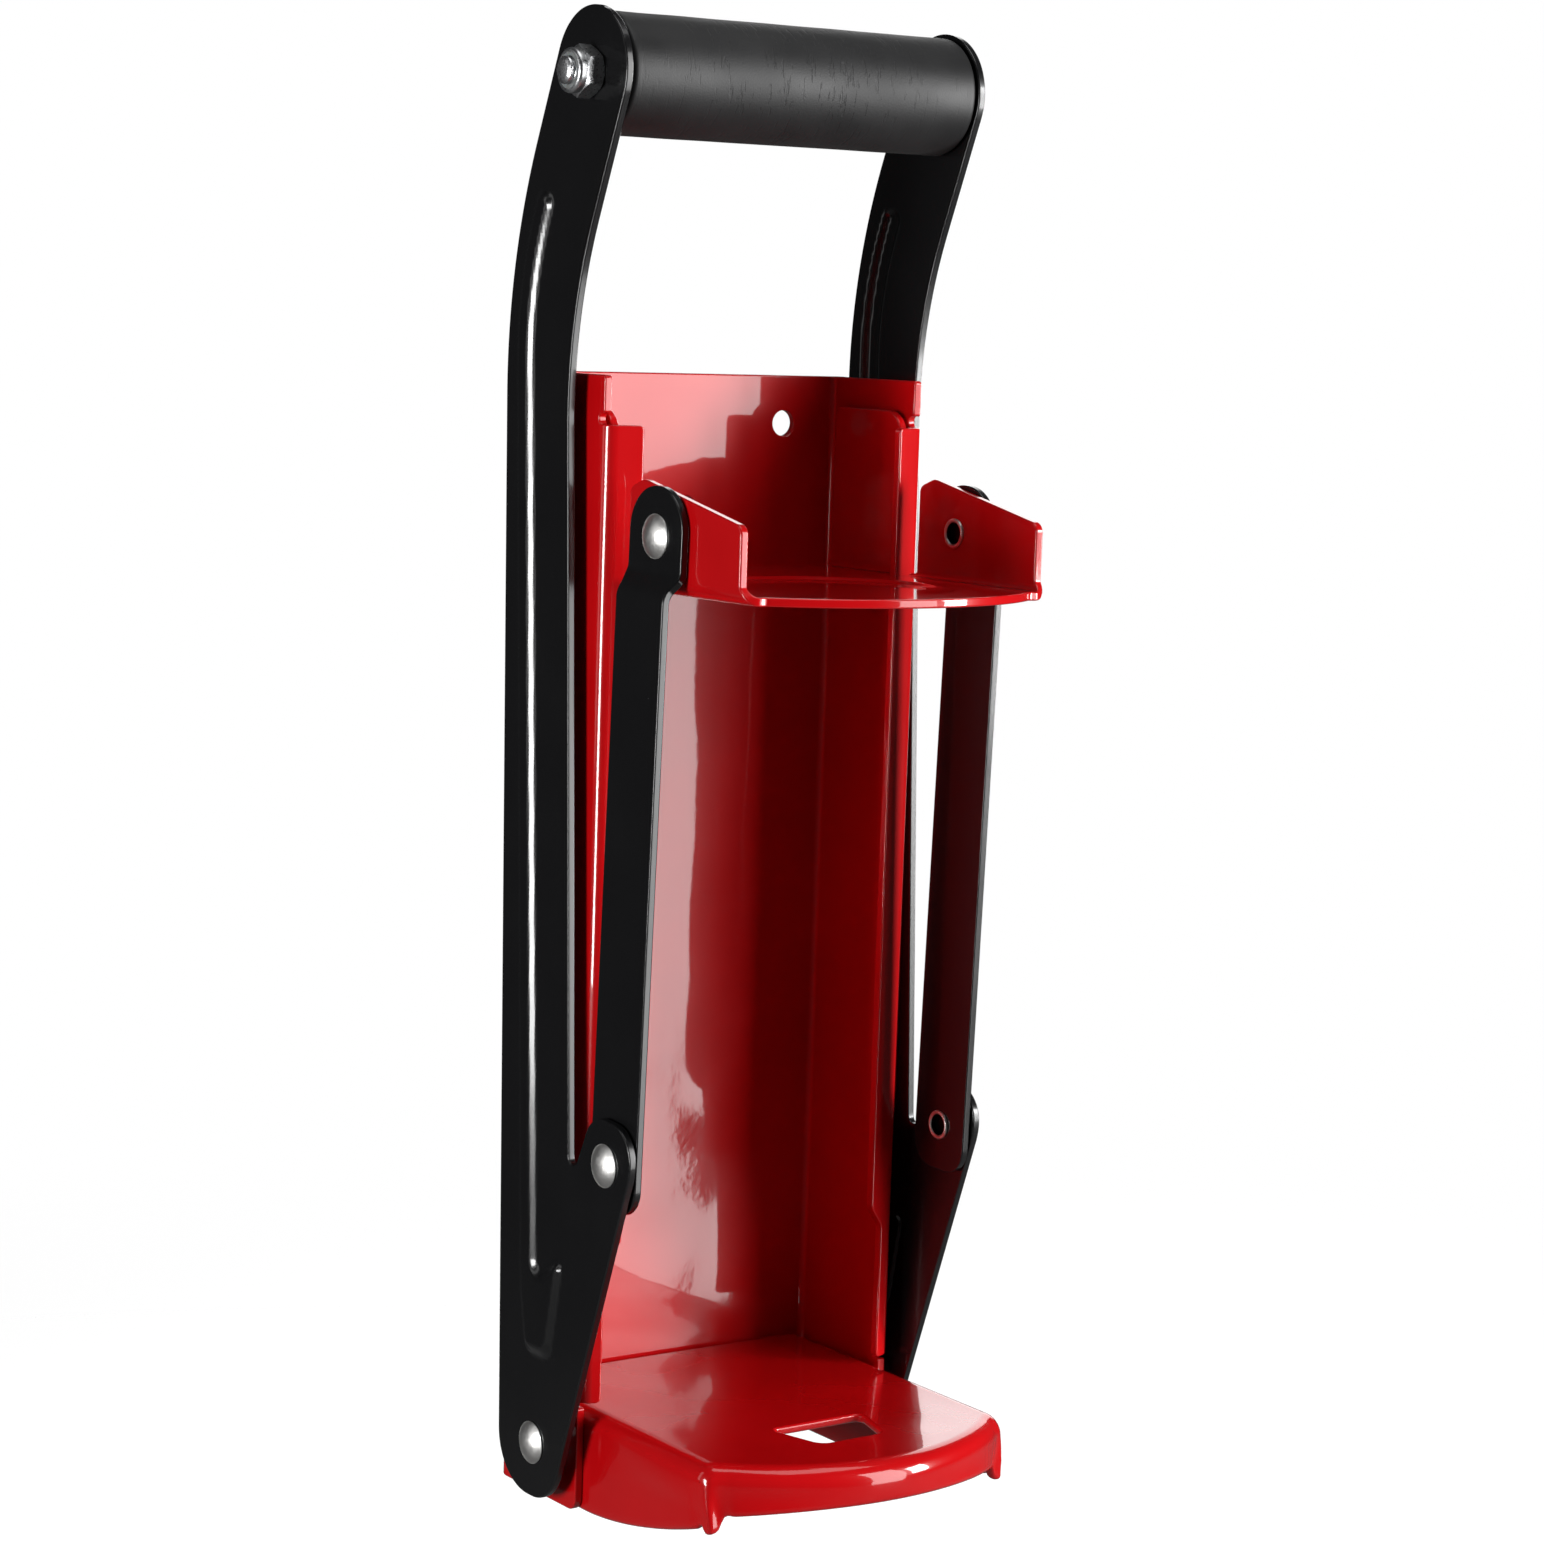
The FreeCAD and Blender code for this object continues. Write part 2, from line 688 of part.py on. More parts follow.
def hexagon(x0, x1, flats):
    """A hexagonal prism along X, points up and down, on the handle's axis."""
    radius = flats / math.sqrt(3)
    corners = []
    for i in range(6):
        angle = math.radians(60 * i + 90)
        y = handle_axis[0] + radius * math.cos(angle)
        z = handle_axis[1] + radius * math.sin(angle)
        corners.append(FreeCAD.Vector(x0, y, z))
    face = Part.Face(Part.makePolygon(corners + corners[:1]))
    return face.extrude(FreeCAD.Vector(x1 - x0, 0, 0))


def handle_bolt():
    """Bolt through arms and tube: head on the right, end standing out of the nut."""
    head_face = arm_outer + face_gap
    crown_end = head_face + bolt_head_height
    head = hexagon(head_face, crown_end, hex_flats)
    crown = bar(arm_outer, crown_end, handle_axis, hex_flats / math.sqrt(3))
    crown_rim = [e for e in crown.Edges if e.BoundBox.XMin > crown_end - hair]
    head = head.common(crown.makeChamfer(bolt_chamfer, crown_rim))
    shank = bar(-arm_outer - bolt_end, head_face, handle_axis, bolt_radius)
    far_edges = [e for e in shank.Edges if e.BoundBox.XMax < hair - arm_outer - bolt_end]
    return head.fuse(shank.makeChamfer(bolt_chamfer, far_edges))


def handle_nut():
    """Lock nut on the left arm, with a collar that holds the insert."""
    inner = -arm_outer - face_gap
    body = hexagon(inner - nut_height, inner, hex_flats)
    collar_end = inner - nut_height - nut_collar_height
    collar = bar(collar_end, inner - nut_height, handle_axis, nut_collar_radius)
    shape = body.fuse(collar)
    insert_seat = nut_collar_radius - nut_wall
    shape = shape.cut(bar(collar_end - past, inner - nut_height, handle_axis, insert_seat))
    return shape.cut(bar(collar_end - past, inner + past, handle_axis, bolt_radius + running_gap))


def nut_insert():
    """Nylon ring inside the nut's collar."""
    inner = -arm_outer - face_gap - nut_height - face_gap
    outer = inner - nut_collar_height + insert_recess
    ring = bar(outer, inner, handle_axis, nut_collar_radius - nut_wall - running_gap)
    return ring.cut(bar(outer - past, inner + past, handle_axis, bolt_radius + running_gap))


# ---------------------------------------------------------------- rivets
def dome(face_x, centre):
    """Low domed rivet head on the left, standing on the plane X = face_x."""
    radius, height = rivet_head_radius, rivet_head_height
    ball = (radius ** 2 + height ** 2) / (2 * height)
    middle = FreeCAD.Vector(face_x - height + ball, centre[0], centre[1])
    rim = bar(face_x - height - past, face_x, centre, radius)
    return Part.makeSphere(ball, middle).common(rim)


def rolled_tail(face_x, centre):
    """Rolled rivet tail on the left side's inner end, standing past face_x towards +X."""
    tail = bar(face_x, face_x + tail_height, centre, tail_radius)
    rim = [e for e in tail.Edges if e.BoundBox.XMin > face_x + tail_height - hair]
    return tail.makeFillet(tail_round, rim)


def hollowed(rivet, tail_face, centre):
    """A rivet with its tail end bored out, which is what lets the rim roll over."""
    end = tail_face + tail_height
    return rivet.cut(bar(end - tail_hollow_depth, end + past, centre, tail_hollow))


def left_rivet(head_face, tail_face, centre):
    """A whole rivet on the left side: head outside, rolled tail inside."""
    shank = bar(head_face, tail_face, centre, rivet_radius)
    whole = dome(head_face, centre).fuse([shank, rolled_tail(tail_face, centre)])
    return hollowed(whole, tail_face, centre)


def left_base_rivet():
    """The lever's pivot: it ties arm, spacer, channel wall and base skirt together."""
    return left_rivet(-arm_outer - face_gap, -base_half + sheet + running_gap, pivot)


def left_link_rivet():
    """The pivot between arm lug and link."""
    return left_rivet(-arm_outer - face_gap, -link_outer + strap + face_gap, lug_pin)


def left_ram_rivet_head():
    """Outer half of the link-to-ram rivet: it stays in the link."""
    outer_face = -link_upper_inner - strap
    head = dome(outer_face, ram_pin)
    return head.fuse(bar(outer_face, -link_upper_inner, ram_pin, rivet_radius))


def left_ram_rivet_tail():
    """Inner half of the link-to-ram rivet: it stays in the ram's ear."""
    tail_face = -ear_inner + running_gap
    shank = bar(-ear_outer, tail_face, ram_pin, rivet_radius)
    return hollowed(rolled_tail(tail_face, ram_pin).fuse(shank), tail_face, ram_pin)


def left_spacer():
    """Ring that keeps the arm clear of the channel's wall."""
    ring = bar(-arm_inner + face_gap, -half_width, pivot, spacer_radius)
    return ring.cut(bar(-arm_inner, -half_width + past, pivot, rivet_hole))


# ---------------------------------------------------------------- build
os.makedirs("parts", exist_ok=True)

save("back_channel", back_channel())
save("base_plate", base_plate())
save("ram_plate", ram_plate())
for name, piece in (
    ("arm", left_arm()),
    ("link", left_link()),
    ("base_rivet", left_base_rivet()),
    ("link_rivet", left_link_rivet()),
    ("ram_rivet_head", left_ram_rivet_head()),
    ("ram_rivet_tail", left_ram_rivet_tail()),
    ("pivot_spacer", left_spacer()),
):
    save("left_" + name, piece)
    save("right_" + name, mirrored(piece))
save("grip_sleeve", grip_sleeve())
save("handle_tube", handle_tube())
save("handle_bolt", handle_bolt())
save("handle_nut", handle_nut())
save("nut_insert", nut_insert())

print("pivot", pivot, "lug pin", lug_pin, "ram pin", ram_pin, "handle", handle_axis)
crank = math.atan2(crank_forward, crank_up)
print("full swing, degrees", 180 - 2 * math.degrees(crank), "ram stroke", 2 * crank_up)
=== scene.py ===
# %% [markdown]
# # A wall-mounted lever can crusher
# The press is nearly all sheet metal: flat blanks with their holes already cut,
# folded along straight lines and then painted.  So this notebook works the same
# way.  It cuts each blank as an outline in the plane, rounds its rim, and folds it
# by carrying it along a bent line.  Everything is in millimetres until a mesh is
# made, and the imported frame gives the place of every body.

# %% Load the frame
import math

import bmesh
import bpy
import numpy as np
from mathutils import Matrix, Vector
from mathutils.geometry import delaunay_2d_cdt


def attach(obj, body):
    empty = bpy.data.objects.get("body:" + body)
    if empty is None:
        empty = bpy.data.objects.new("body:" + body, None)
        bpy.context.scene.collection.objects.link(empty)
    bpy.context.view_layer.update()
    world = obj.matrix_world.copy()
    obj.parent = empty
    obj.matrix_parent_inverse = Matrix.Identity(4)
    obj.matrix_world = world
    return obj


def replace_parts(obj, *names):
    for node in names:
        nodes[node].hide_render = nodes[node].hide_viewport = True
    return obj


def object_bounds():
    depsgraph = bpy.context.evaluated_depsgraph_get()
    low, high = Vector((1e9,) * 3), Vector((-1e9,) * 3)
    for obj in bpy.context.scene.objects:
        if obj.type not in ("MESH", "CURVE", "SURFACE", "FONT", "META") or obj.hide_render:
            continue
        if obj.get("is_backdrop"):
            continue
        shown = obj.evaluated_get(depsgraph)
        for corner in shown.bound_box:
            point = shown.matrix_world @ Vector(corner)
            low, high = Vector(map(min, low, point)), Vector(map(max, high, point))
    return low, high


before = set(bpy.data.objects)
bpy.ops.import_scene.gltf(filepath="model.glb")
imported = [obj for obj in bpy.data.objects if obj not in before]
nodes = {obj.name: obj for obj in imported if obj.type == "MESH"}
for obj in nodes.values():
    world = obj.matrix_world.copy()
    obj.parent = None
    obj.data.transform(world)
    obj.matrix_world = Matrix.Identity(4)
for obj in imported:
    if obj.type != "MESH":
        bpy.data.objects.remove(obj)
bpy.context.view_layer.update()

MM = 0.001

# %% [markdown]
# ## The camera
# A three-quarter view from the front left, a little above the middle of the press,
# with a long lens so that the tall channel keeps its edges nearly parallel.  The
# camera's turn is worked out from where it looks and how far it is rolled.

# %% Camera
eye = Vector((-0.4864, -0.7219, 0.14365))
yaw, pitch, roll = math.radians(34.94), math.radians(-7.45), math.radians(1.85)
forward = Vector((math.sin(yaw) * math.cos(pitch), math.cos(yaw) * math.cos(pitch),
                  math.sin(pitch)))
right = Vector((math.cos(yaw), -math.sin(yaw), 0.0))
upward = right.cross(forward)
right, upward = (right * math.cos(roll) + upward * math.sin(roll),
                 upward * math.cos(roll) - right * math.sin(roll))
lens = bpy.data.cameras.new("camera")
lens.lens, lens.sensor_width = 87.0, 36.0
lens.shift_x, lens.shift_y = 0.024, 0.0155
camera = bpy.data.objects.new("camera", lens)
turn = Matrix((right, upward, -forward)).transposed().to_4x4()
camera.matrix_world = Matrix.Translation(eye) @ turn
bpy.context.scene.collection.objects.link(camera)
bpy.context.scene.camera = camera
print("camera at", [round(v, 3) for v in eye], "lens", lens.lens)

# %% [markdown]
# ## The stage
# A white floor that fades out to a white room, well below the press, which in use
# hangs on a wall.  The lights are large soft panels: gloss paint looks like
# what it mirrors, so each panel is placed for the face that should mirror it.

# %% Lights and floor
def panel(name, place, aim, size, glow):
    """A soft rectangular light; glow is the brightness of its face, and its power is
    glow x pi x area."""
    data = bpy.data.lights.new(name, "AREA")
    data.shape, data.size, data.size_y = "RECTANGLE", size[0], size[1]
    data.energy = glow * math.pi * size[0] * size[1]
    thing = bpy.data.objects.new(name, data)
    place, aim = Vector(place), Vector(aim)
    thing.rotation_mode = "QUATERNION"
    thing.rotation_quaternion = (aim - place).to_track_quat("-Z", "Y")
    thing.location = place
    bpy.context.scene.collection.objects.link(thing)
    return thing


panel("key_right", (0.60, -1.20, 0.17), (0.0, 0.0, 0.05), (0.44, 1.4), 5.5)
panel("side_key", (0.97, -0.94, 0.20), (0.0, 0.0, 0.02), (0.30, 0.70), 31.0)
panel("fill_left", (-1.30, -0.10, 0.02), (0.0, 0.0, 0.02), (0.3, 0.5), 27.0)
panel("sheen_left", (-1.15, 0.52, 0.40), (0.0, 0.0, 0.05), (0.30, 1.1), 1.0)
panel("top", (0.1, -0.25, 1.25), (0.0, -0.05, 0.0), (0.9, 0.8), 1.8)
panel("rear_right", (1.1, 0.9, 0.5), (0.0, 0.0, 0.05), (0.7, 1.1), 2.0)

world = bpy.data.worlds.new("studio")
bpy.context.scene.world = world
world.use_nodes = True
sky = world.node_tree
sky.nodes.clear()
room = sky.nodes.new("ShaderNodeBackground")
room.inputs["Color"].default_value = (0.025, 0.025, 0.026, 1)
white = sky.nodes.new("ShaderNodeBackground")
white.inputs["Color"].default_value = (1, 1, 1, 1)
ray = sky.nodes.new("ShaderNodeLightPath")
either = sky.nodes.new("ShaderNodeMixShader")
out = sky.nodes.new("ShaderNodeOutputWorld")
sky.links.new(ray.outputs["Is Camera Ray"], either.inputs[0])
sky.links.new(room.outputs[0], either.inputs[1])
sky.links.new(white.outputs[0], either.inputs[2])
sky.links.new(either.outputs[0], out.inputs[0])
bpy.context.scene.view_settings.view_transform = "Standard"

# %% [markdown]
# ## Wiring a finish
# A finish could be painted on as an image, but then it would be tied to one mesh.
# Here each one is a Principled shader fed by a few noises that read the object's own
# coordinates, so it has no seams and stays fixed to its piece.  A small class keeps
# the wiring short: each of its methods adds or joins one kind of node.

# %% Finish helper
class Finish:
    """A new material with one Principled shader, and short ways to feed it."""

    def __init__(self, name):
        self.material = bpy.data.materials.new(name)
        self.material.use_nodes = True
        self.tree = self.material.node_tree
        self.tree.nodes.clear()
        self.shader = self.add("BsdfPrincipled")
        self.end = self.add("OutputMaterial")
        self.place = self.add("TexCoord").outputs["Object"]
        self.link(self.shader.outputs[0], self.end.inputs[0])

    def add(self, kind, settings=None, **sockets):
        """A node; its sockets are named with _ for a space."""
        node = self.tree.nodes.new("ShaderNode" + kind)
        for key, value in (settings or {}).items():
            setattr(node, key, value)
        for key, value in sockets.items():
            node.inputs[key.replace("_", " ")].default_value = value
        return node

    def link(self, output, socket):
        """Join an output to a socket."""
        self.tree.links.new(output, socket)

    def put(self, **sockets):
        """Values that are the same all over, on the shader's own sockets."""
        for key, value in sockets.items():
            self.shader.inputs[key.replace("_", " ")].default_value = value

    def pattern(self, kind, settings=None, **sockets):
        """A node that reads the object's own coordinates; returns that node."""
        node = self.add(kind, settings, **sockets)
        self.link(self.place, node.inputs["Vector"])
        return node

    def product(self, a, b):
        """The output that is a times b."""
        node = self.add("Math", {"operation": "MULTIPLY"})
        self.link(a, node.inputs[0])
        self.link(b, node.inputs[1])
        return node.outputs[0]

    def ramp(self, source, stops, socket=None):
        """The output of a colour ramp fed by source, joined to the shader's socket if
        one is named; stops are (place, grey or colour)."""
        node = self.add("ValToRGB")
        bar = node.color_ramp
        for i, (place, tone) in enumerate(stops):
            stop = bar.elements[i] if i < 2 else bar.elements.new(place)
            stop.position = place
            tone = (tone,) * 3 if isinstance(tone, (int, float)) else tone
            stop.color = (*tone, 1)
        self.link(source, node.inputs[0])
        if socket:
            self.link(node.outputs[0], self.shader.inputs[socket])
        return node.outputs[0]

    def mixed(self, factor, first, second):
        """The shader that turns from first to second as factor goes from 0 to 1."""
        node = self.add("MixShader")
        for output, socket in zip((factor, first, second), node.inputs):
            self.link(output, socket)
        return node.outputs[0]

    def bumps(self, layers, *sockets):
        """Chain bump nodes into the shader's sockets; layers are (height output,
        strength, distance in metres)."""
        last = None
        for height, strength, distance in layers:
            node = self.add("Bump", Strength=strength, Distance=distance)
            self.link(height, node.inputs["Height"])
            if last:
                self.link(last, node.inputs["Normal"])
            last = node.outputs[0]
        for socket in sockets:
            self.link(last, self.shader.inputs[socket])


# %% Floor
def fading_floor(radius, height, rings=24, around=96):
    """A flat disc of rings at growing radii, radius x share ^ 1.5, at one height."""
    reach = radius * np.linspace(0, 1, rings + 1)[1:] ** 1.5
    turns = np.linspace(0, 2 * np.pi, around, endpoint=False)
    r, a = np.meshgrid(reach, turns, indexing="ij")
    points = np.stack([r * np.cos(a), r * np.sin(a), np.full_like(r, height)], -1)
    points = np.vstack([[[0, 0, height]], points.reshape(-1, 3)])
    number = 1 + np.arange(rings * around).reshape(rings, around)
    after = np.roll(number, -1, 1)
    quads = np.stack([number[:-1], number[1:], after[1:], after[:-1]], -1).reshape(-1, 4)
    fan = np.stack([np.zeros(around, int), number[0], after[0]], -1)
    mesh = bpy.data.meshes.new("floor")
    mesh.from_pydata(points.tolist(), [], quads.tolist() + fan.tolist())
    thing = bpy.data.objects.new("floor", mesh)
    bpy.context.scene.collection.objects.link(thing)
    return thing


# the press hangs on a wall and its lever swings down past its foot, so the floor
# lies just below the grip's lowest point
floor_level = -0.372
floor = fading_floor(2.2, floor_level)
paper = Finish("floor_paper")
away = paper.pattern("VectorMath", {"operation": "LENGTH"})
fade = paper.add("MapRange", {"interpolation_type": "SMOOTHERSTEP"}, From_Min=0.35, From_Max=1.5)
paper.link(away.outputs["Value"], fade.inputs["Value"])
grain = paper.pattern("TexNoise", Scale=900.0, Detail=3.0)
paper.ramp(grain.outputs[0], [(0.3, 0.93), (0.7, 0.97)], "Base Color")
paper.put(Roughness=0.9, Specular_IOR_Level=0.1, Emission_Color=(1, 1, 1, 1), Emission_Strength=0.55)

# only the eye sees white paper: to every other ray the floor is dim, so that it
# throws little light back onto the press
dim = paper.add("BsdfDiffuse", Color=(0.16, 0.16, 0.16, 1))
eye_ray = paper.add("LightPath").outputs["Is Camera Ray"]
clear = paper.add("BsdfTransparent")
seen = paper.mixed(eye_ray, dim.outputs[0], paper.shader.outputs[0])
paper.link(paper.mixed(fade.outputs[0], seen, clear.outputs[0]), paper.end.inputs[0])
floor.data.materials.append(paper.material)
floor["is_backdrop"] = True
print("floor at", floor_level)

# %% [markdown]
# ## Red enamel
# The channel, ram and base are sprayed with one thick gloss coat.  Real enamel is
# never quite flat: it has a long slow wave from the spraying, a fine orange peel,
# and a few specks of dust caught under the gloss.  A clear coat over a saturated
# red gives the deep body colour with white mirrors on top; the waves are bump only.

# %% Red enamel
def enamel(name, scales, speck, rarity, dull, relief, **sockets):
    """A sprayed coat.  scales are those of its slow wave, orange peel, dust and
    clouding.  A speck fills a dust cell out to speck, in the few cells whose random
    value is over rarity.  dull is the most that clouding roughens it, and relief is
    (strength, distance) for wave, peel and specks.  Returns the finish, the clouding
    and the specks."""
    made = Finish(name)
    wave = made.pattern("TexNoise", Scale=scales[0], Detail=1.5, Roughness=0.4)
    peel = made.pattern("TexNoise", Scale=scales[1], Detail=2.0, Roughness=0.5)
    dust = made.pattern("TexVoronoi", {"feature": "F1"}, Scale=scales[2], Randomness=1.0)
    cloud = made.pattern("TexNoise", Scale=scales[3], Detail=3.0)
    middles = made.ramp(dust.outputs["Distance"], [(0.0, 1.0), (speck, 0.0)])
    few = made.ramp(dust.outputs["Color"], [(rarity, 0.0), (rarity + 0.04, 1.0)])
    specks = made.product(middles, few)
    made.ramp(cloud.outputs[0], [(0.3, 0.20), (0.7, dull)], "Roughness")
    made.put(IOR=1.5, **sockets)
    heights = (wave.outputs[0], peel.outputs[0], specks)
    made.bumps([(height, *pair) for height, pair in zip(heights, relief)], "Normal", "Coat Normal")
    return made, cloud.outputs[0], specks


coat, cloud, _ = enamel(
    "red_enamel", (16.0, 420.0, 170.0, 35.0), speck=0.055, rarity=0.86, dull=0.26,
    relief=[(0.35, 0.004), (0.04, 0.0001), (0.5, 0.0002)],
    Specular_IOR_Level=0.15, Coat_Weight=1.0, Coat_Roughness=0.035, Coat_IOR=1.55)
coat.ramp(cloud, [(0.35, (0.50, 0.0025, 0.004)), (0.65, (0.55, 0.003, 0.005))], "Base Color")
red = coat.material

# drawing stretches the sheet, so the base's coat lies on a stronger slow wave
drawn_red = red.copy()
drawn_red.name = "red_enamel_drawn"
slow_wave = next(n for n in drawn_red.node_tree.nodes if n.type == "BUMP")
slow_wave.inputs["Strength"].default_value = 0.9
print("made", red.name, drawn_red.name)

# %% [markdown]
# ## Black enamel
# The arms and links carry a thinner black coat with more dust in it.  It is less
# mirror-like than the red, so long edges catch a narrow soft light.

# %% Black enamel
coat, _, specks = enamel(
    "black_enamel", (24.0, 700.0, 260.0, 45.0), speck=0.05, rarity=0.80, dull=0.27,
    relief=[(0.10, 0.003), (0.03, 0.0001), (0.6, 0.0002)], Coat_Weight=0.35, Coat_Roughness=0.08)
coat.ramp(specks, [(0.0, (0.0055, 0.0055, 0.006)), (1.0, (0.10, 0.10, 0.10))], "Base Color")
black = coat.material
print("made", black.name)

# %% [markdown]
# ## Foam
# The grip is a tube of closed-cell foam with a satin skin.  Where it is squeezed
# onto its tube the skin creases into short fine lines that run round the grip, most
# of them near the middle of its length.

# %% Foam
skin = Finish("foam")
stretch = skin.pattern("Mapping", Scale=(1.0, 0.16, 0.16))
crease = skin.add("TexNoise", Scale=1150.0, Detail=2.0, Roughness=0.55, Distortion=0.25)
skin.link(stretch.outputs[0], crease.inputs["Vector"])
pores = skin.pattern("TexNoise", Scale=2600.0, Detail=2.0)
cloud = skin.pattern("TexNoise", Scale=60.0, Detail=3.0).outputs[0]
lines = skin.ramp(crease.outputs[0], [(0.0, 0.0), (0.33, 0.25), (0.42, 1.0)])
apart = skin.add("SeparateXYZ")
skin.link(skin.place, apart.inputs[0])
off = skin.add("Math", {"operation": "ABSOLUTE"})
skin.link(apart.outputs["X"], off.inputs[0])
band = skin.add("MapRange", {"interpolation_type": "SMOOTHSTEP"},
                From_Min=0.012, From_Max=0.040, To_Min=1.0, To_Max=0.25)
skin.link(off.outputs[0], band.inputs["Value"])
skin.ramp(cloud, [(0.3, (0.006, 0.006, 0.0064)), (0.7, (0.011, 0.011, 0.0115))], "Base Color")
skin.ramp(cloud, [(0.3, 0.46), (0.7, 0.56)], "Roughness")
skin.put(Specular_IOR_Level=0.38, Sheen_Weight=0.03, Sheen_Roughness=0.5)
skin.bumps([(skin.product(lines, band.outputs[0]), 0.5, 0.00015), (pores.outputs[0], 0.25, 0.0001)],
           "Normal")
foam = skin.material
print("made", foam.name)

# %% [markdown]
# ## Bare metal and nylon
# Rivets are tumbled and plated, so they are bright but softly pitted.  The nut and
# bolt are zinc plated and a little sharper.  The lock nut's ring is nylon.

# %% Metals and nylon
def metal(name, tone, rough, pit):
    """Plated steel: tone is its colour, rough its mean roughness and pit the strength of its tumbled
    bumps.  Where a piece has a bore attribute of 1, its colour becomes near black: painted shade in the
    rivet tails' hollows."""
    made = Finish(name)
    fine = made.pattern("TexNoise", Scale=2200.0, Detail=3.0).outputs[0]
    wide = made.pattern("TexNoise", Scale=260.0, Detail=2.0).outputs[0]
    low, high = [tuple(c * share for c in tone) for share in (0.82, 1.05)]
    colour = made.ramp(wide, [(0.3, low), (0.7, high)])
    bore = made.add("Attribute", {"attribute_name": "bore"})
    # painted shade: a near-black colour stands in for the shade inside the rivet tails' hollows
    bore_painted_shade = made.add("Mix", {"data_type": "RGBA"})
    # the Mix node's two colours are its sockets 6 and 7
    bore_painted_shade.inputs[7].default_value = (0.012, 0.010, 0.010, 1)
    made.link(bore.outputs["Fac"], bore_painted_shade.inputs[0])
    made.link(colour, bore_painted_shade.inputs[6])
    made.link(bore_painted_shade.outputs[2], made.shader.inputs["Base Color"])
    made.ramp(fine, [(0.3, rough * 0.8), (0.7, rough * 1.25)], "Roughness")
    made.put(Metallic=1.0)
    made.bumps([(fine, pit, 0.00012), (wide, pit, 0.0002)], "Normal")
    return made.material


rivet_metal = metal("rivet_steel", (0.78, 0.77, 0.75), 0.40, 0.35)
zinc = metal("zinc_steel", (0.72, 0.73, 0.74), 0.31, 0.12)
ring = Finish("nylon")
cloud = ring.pattern("TexNoise", Scale=900.0, Detail=2.0).outputs[0]
ring.ramp(cloud, [(0.3, (0.16, 0.16, 0.155)), (0.7, (0.24, 0.24, 0.235))], "Base Color")
ring.put(Roughness=0.45, Subsurface_Weight=0.15)
ring.bumps([(cloud, 0.2, 0.0001)], "Normal")
nylon = ring.material
print("made", rivet_metal.name, zinc.name, nylon.name)

# %% [markdown]
# ## Cutting blanks
# A sheet part starts as a flat blank.  Its outline is a few corners, each rounded
# by its own radius.  A modifier could bevel a plain plate, but thin curved rims
# need even steps to look right in gloss paint, so the rim is worked out here: six
# rings of points follow the outline through a rounded edge, and the two faces
# between them are filled with triangles.

# %% Outlines
def rounded(corners, step=0.6):
    """A closed loop of points through corners (u, v, radius): each corner becomes an
    arc of its radius, tangent to both sides, and sides are cut into even steps."""
    corners = np.array(corners, float)
    at, radius = corners[:, :2], corners[:, 2]
    back = np.roll(at, 1, 0) - at
    ahead = np.roll(at, -1, 0) - at
    back /= np.linalg.norm(back, axis=1, keepdims=True)
    ahead /= np.linalg.norm(ahead, axis=1, keepdims=True)
    half = np.arccos(np.clip((back * ahead).sum(1), -1, 1)) / 2
    reach = radius / np.tan(half)
    pieces = []
    for i in range(len(at)):
        start, end = at[i] + back[i] * reach[i], at[i] + ahead[i] * reach[i]
        if radius[i] > 0:
            axis = back[i] + ahead[i]
            centre = at[i] + axis / np.linalg.norm(axis) * radius[i] / np.sin(half[i])
            a0 = np.arctan2(*(start - centre)[::-1])
            sweep = np.arctan2(*(end - centre)[::-1]) - a0
            sweep = (sweep + np.pi) % (2 * np.pi) - np.pi
            count = max(4, int(abs(sweep) * radius[i] / step) + 1, int(abs(sweep) / 0.16))
            a = a0 + sweep * np.linspace(0, 1, count + 1)
            pieces.append(centre + radius[i] * np.stack([np.cos(a), np.sin(a)], 1))
        else:
            pieces.append(at[i][None])
        j = (i + 1) % len(at)
        goal = at[j] + back[j] * reach[j]
        run = np.linalg.norm(goal - end)
        share = np.linspace(0, 1, max(1, int(run / step)) + 1)[1:-1, None]
        pieces.append(end + (goal - end) * share)
    loop = np.vstack(pieces)
    loop = loop[np.linalg.norm(loop - np.roll(loop, 1, 0), axis=1) > 1e-4]
    after = np.roll(loop, -1, 0)
    area = (loop[:, 0] * after[:, 1] - after[:, 0] * loop[:, 1]).sum()
    return loop if area > 0 else loop[::-1]


def round_hole(u, v, radius, step=0.5):
    """A circle run the other way round, so that its outside is the metal."""
    count = max(20, int(2 * np.pi * radius / step))
    a = -np.linspace(0, 2 * np.pi, count, endpoint=False)
    return np.stack([u + radius * np.cos(a), v + radius * np.sin(a)], 1)


def outward(loop):
    """Unit normals of a loop, to the right of its path, each the mean of both sides',
    and how much longer an offset is at that point so that both sides move evenly."""
    side = np.roll(loop, -1, 0) - loop
    side = np.stack([side[:, 1], -side[:, 0]], 1)
    side /= np.linalg.norm(side, axis=1, keepdims=True)
    both = side + np.roll(side, 1, 0)
    both /= np.linalg.norm(both, axis=1, keepdims=True)
    return both, 1 / np.maximum((both * side).sum(1), 0.5)


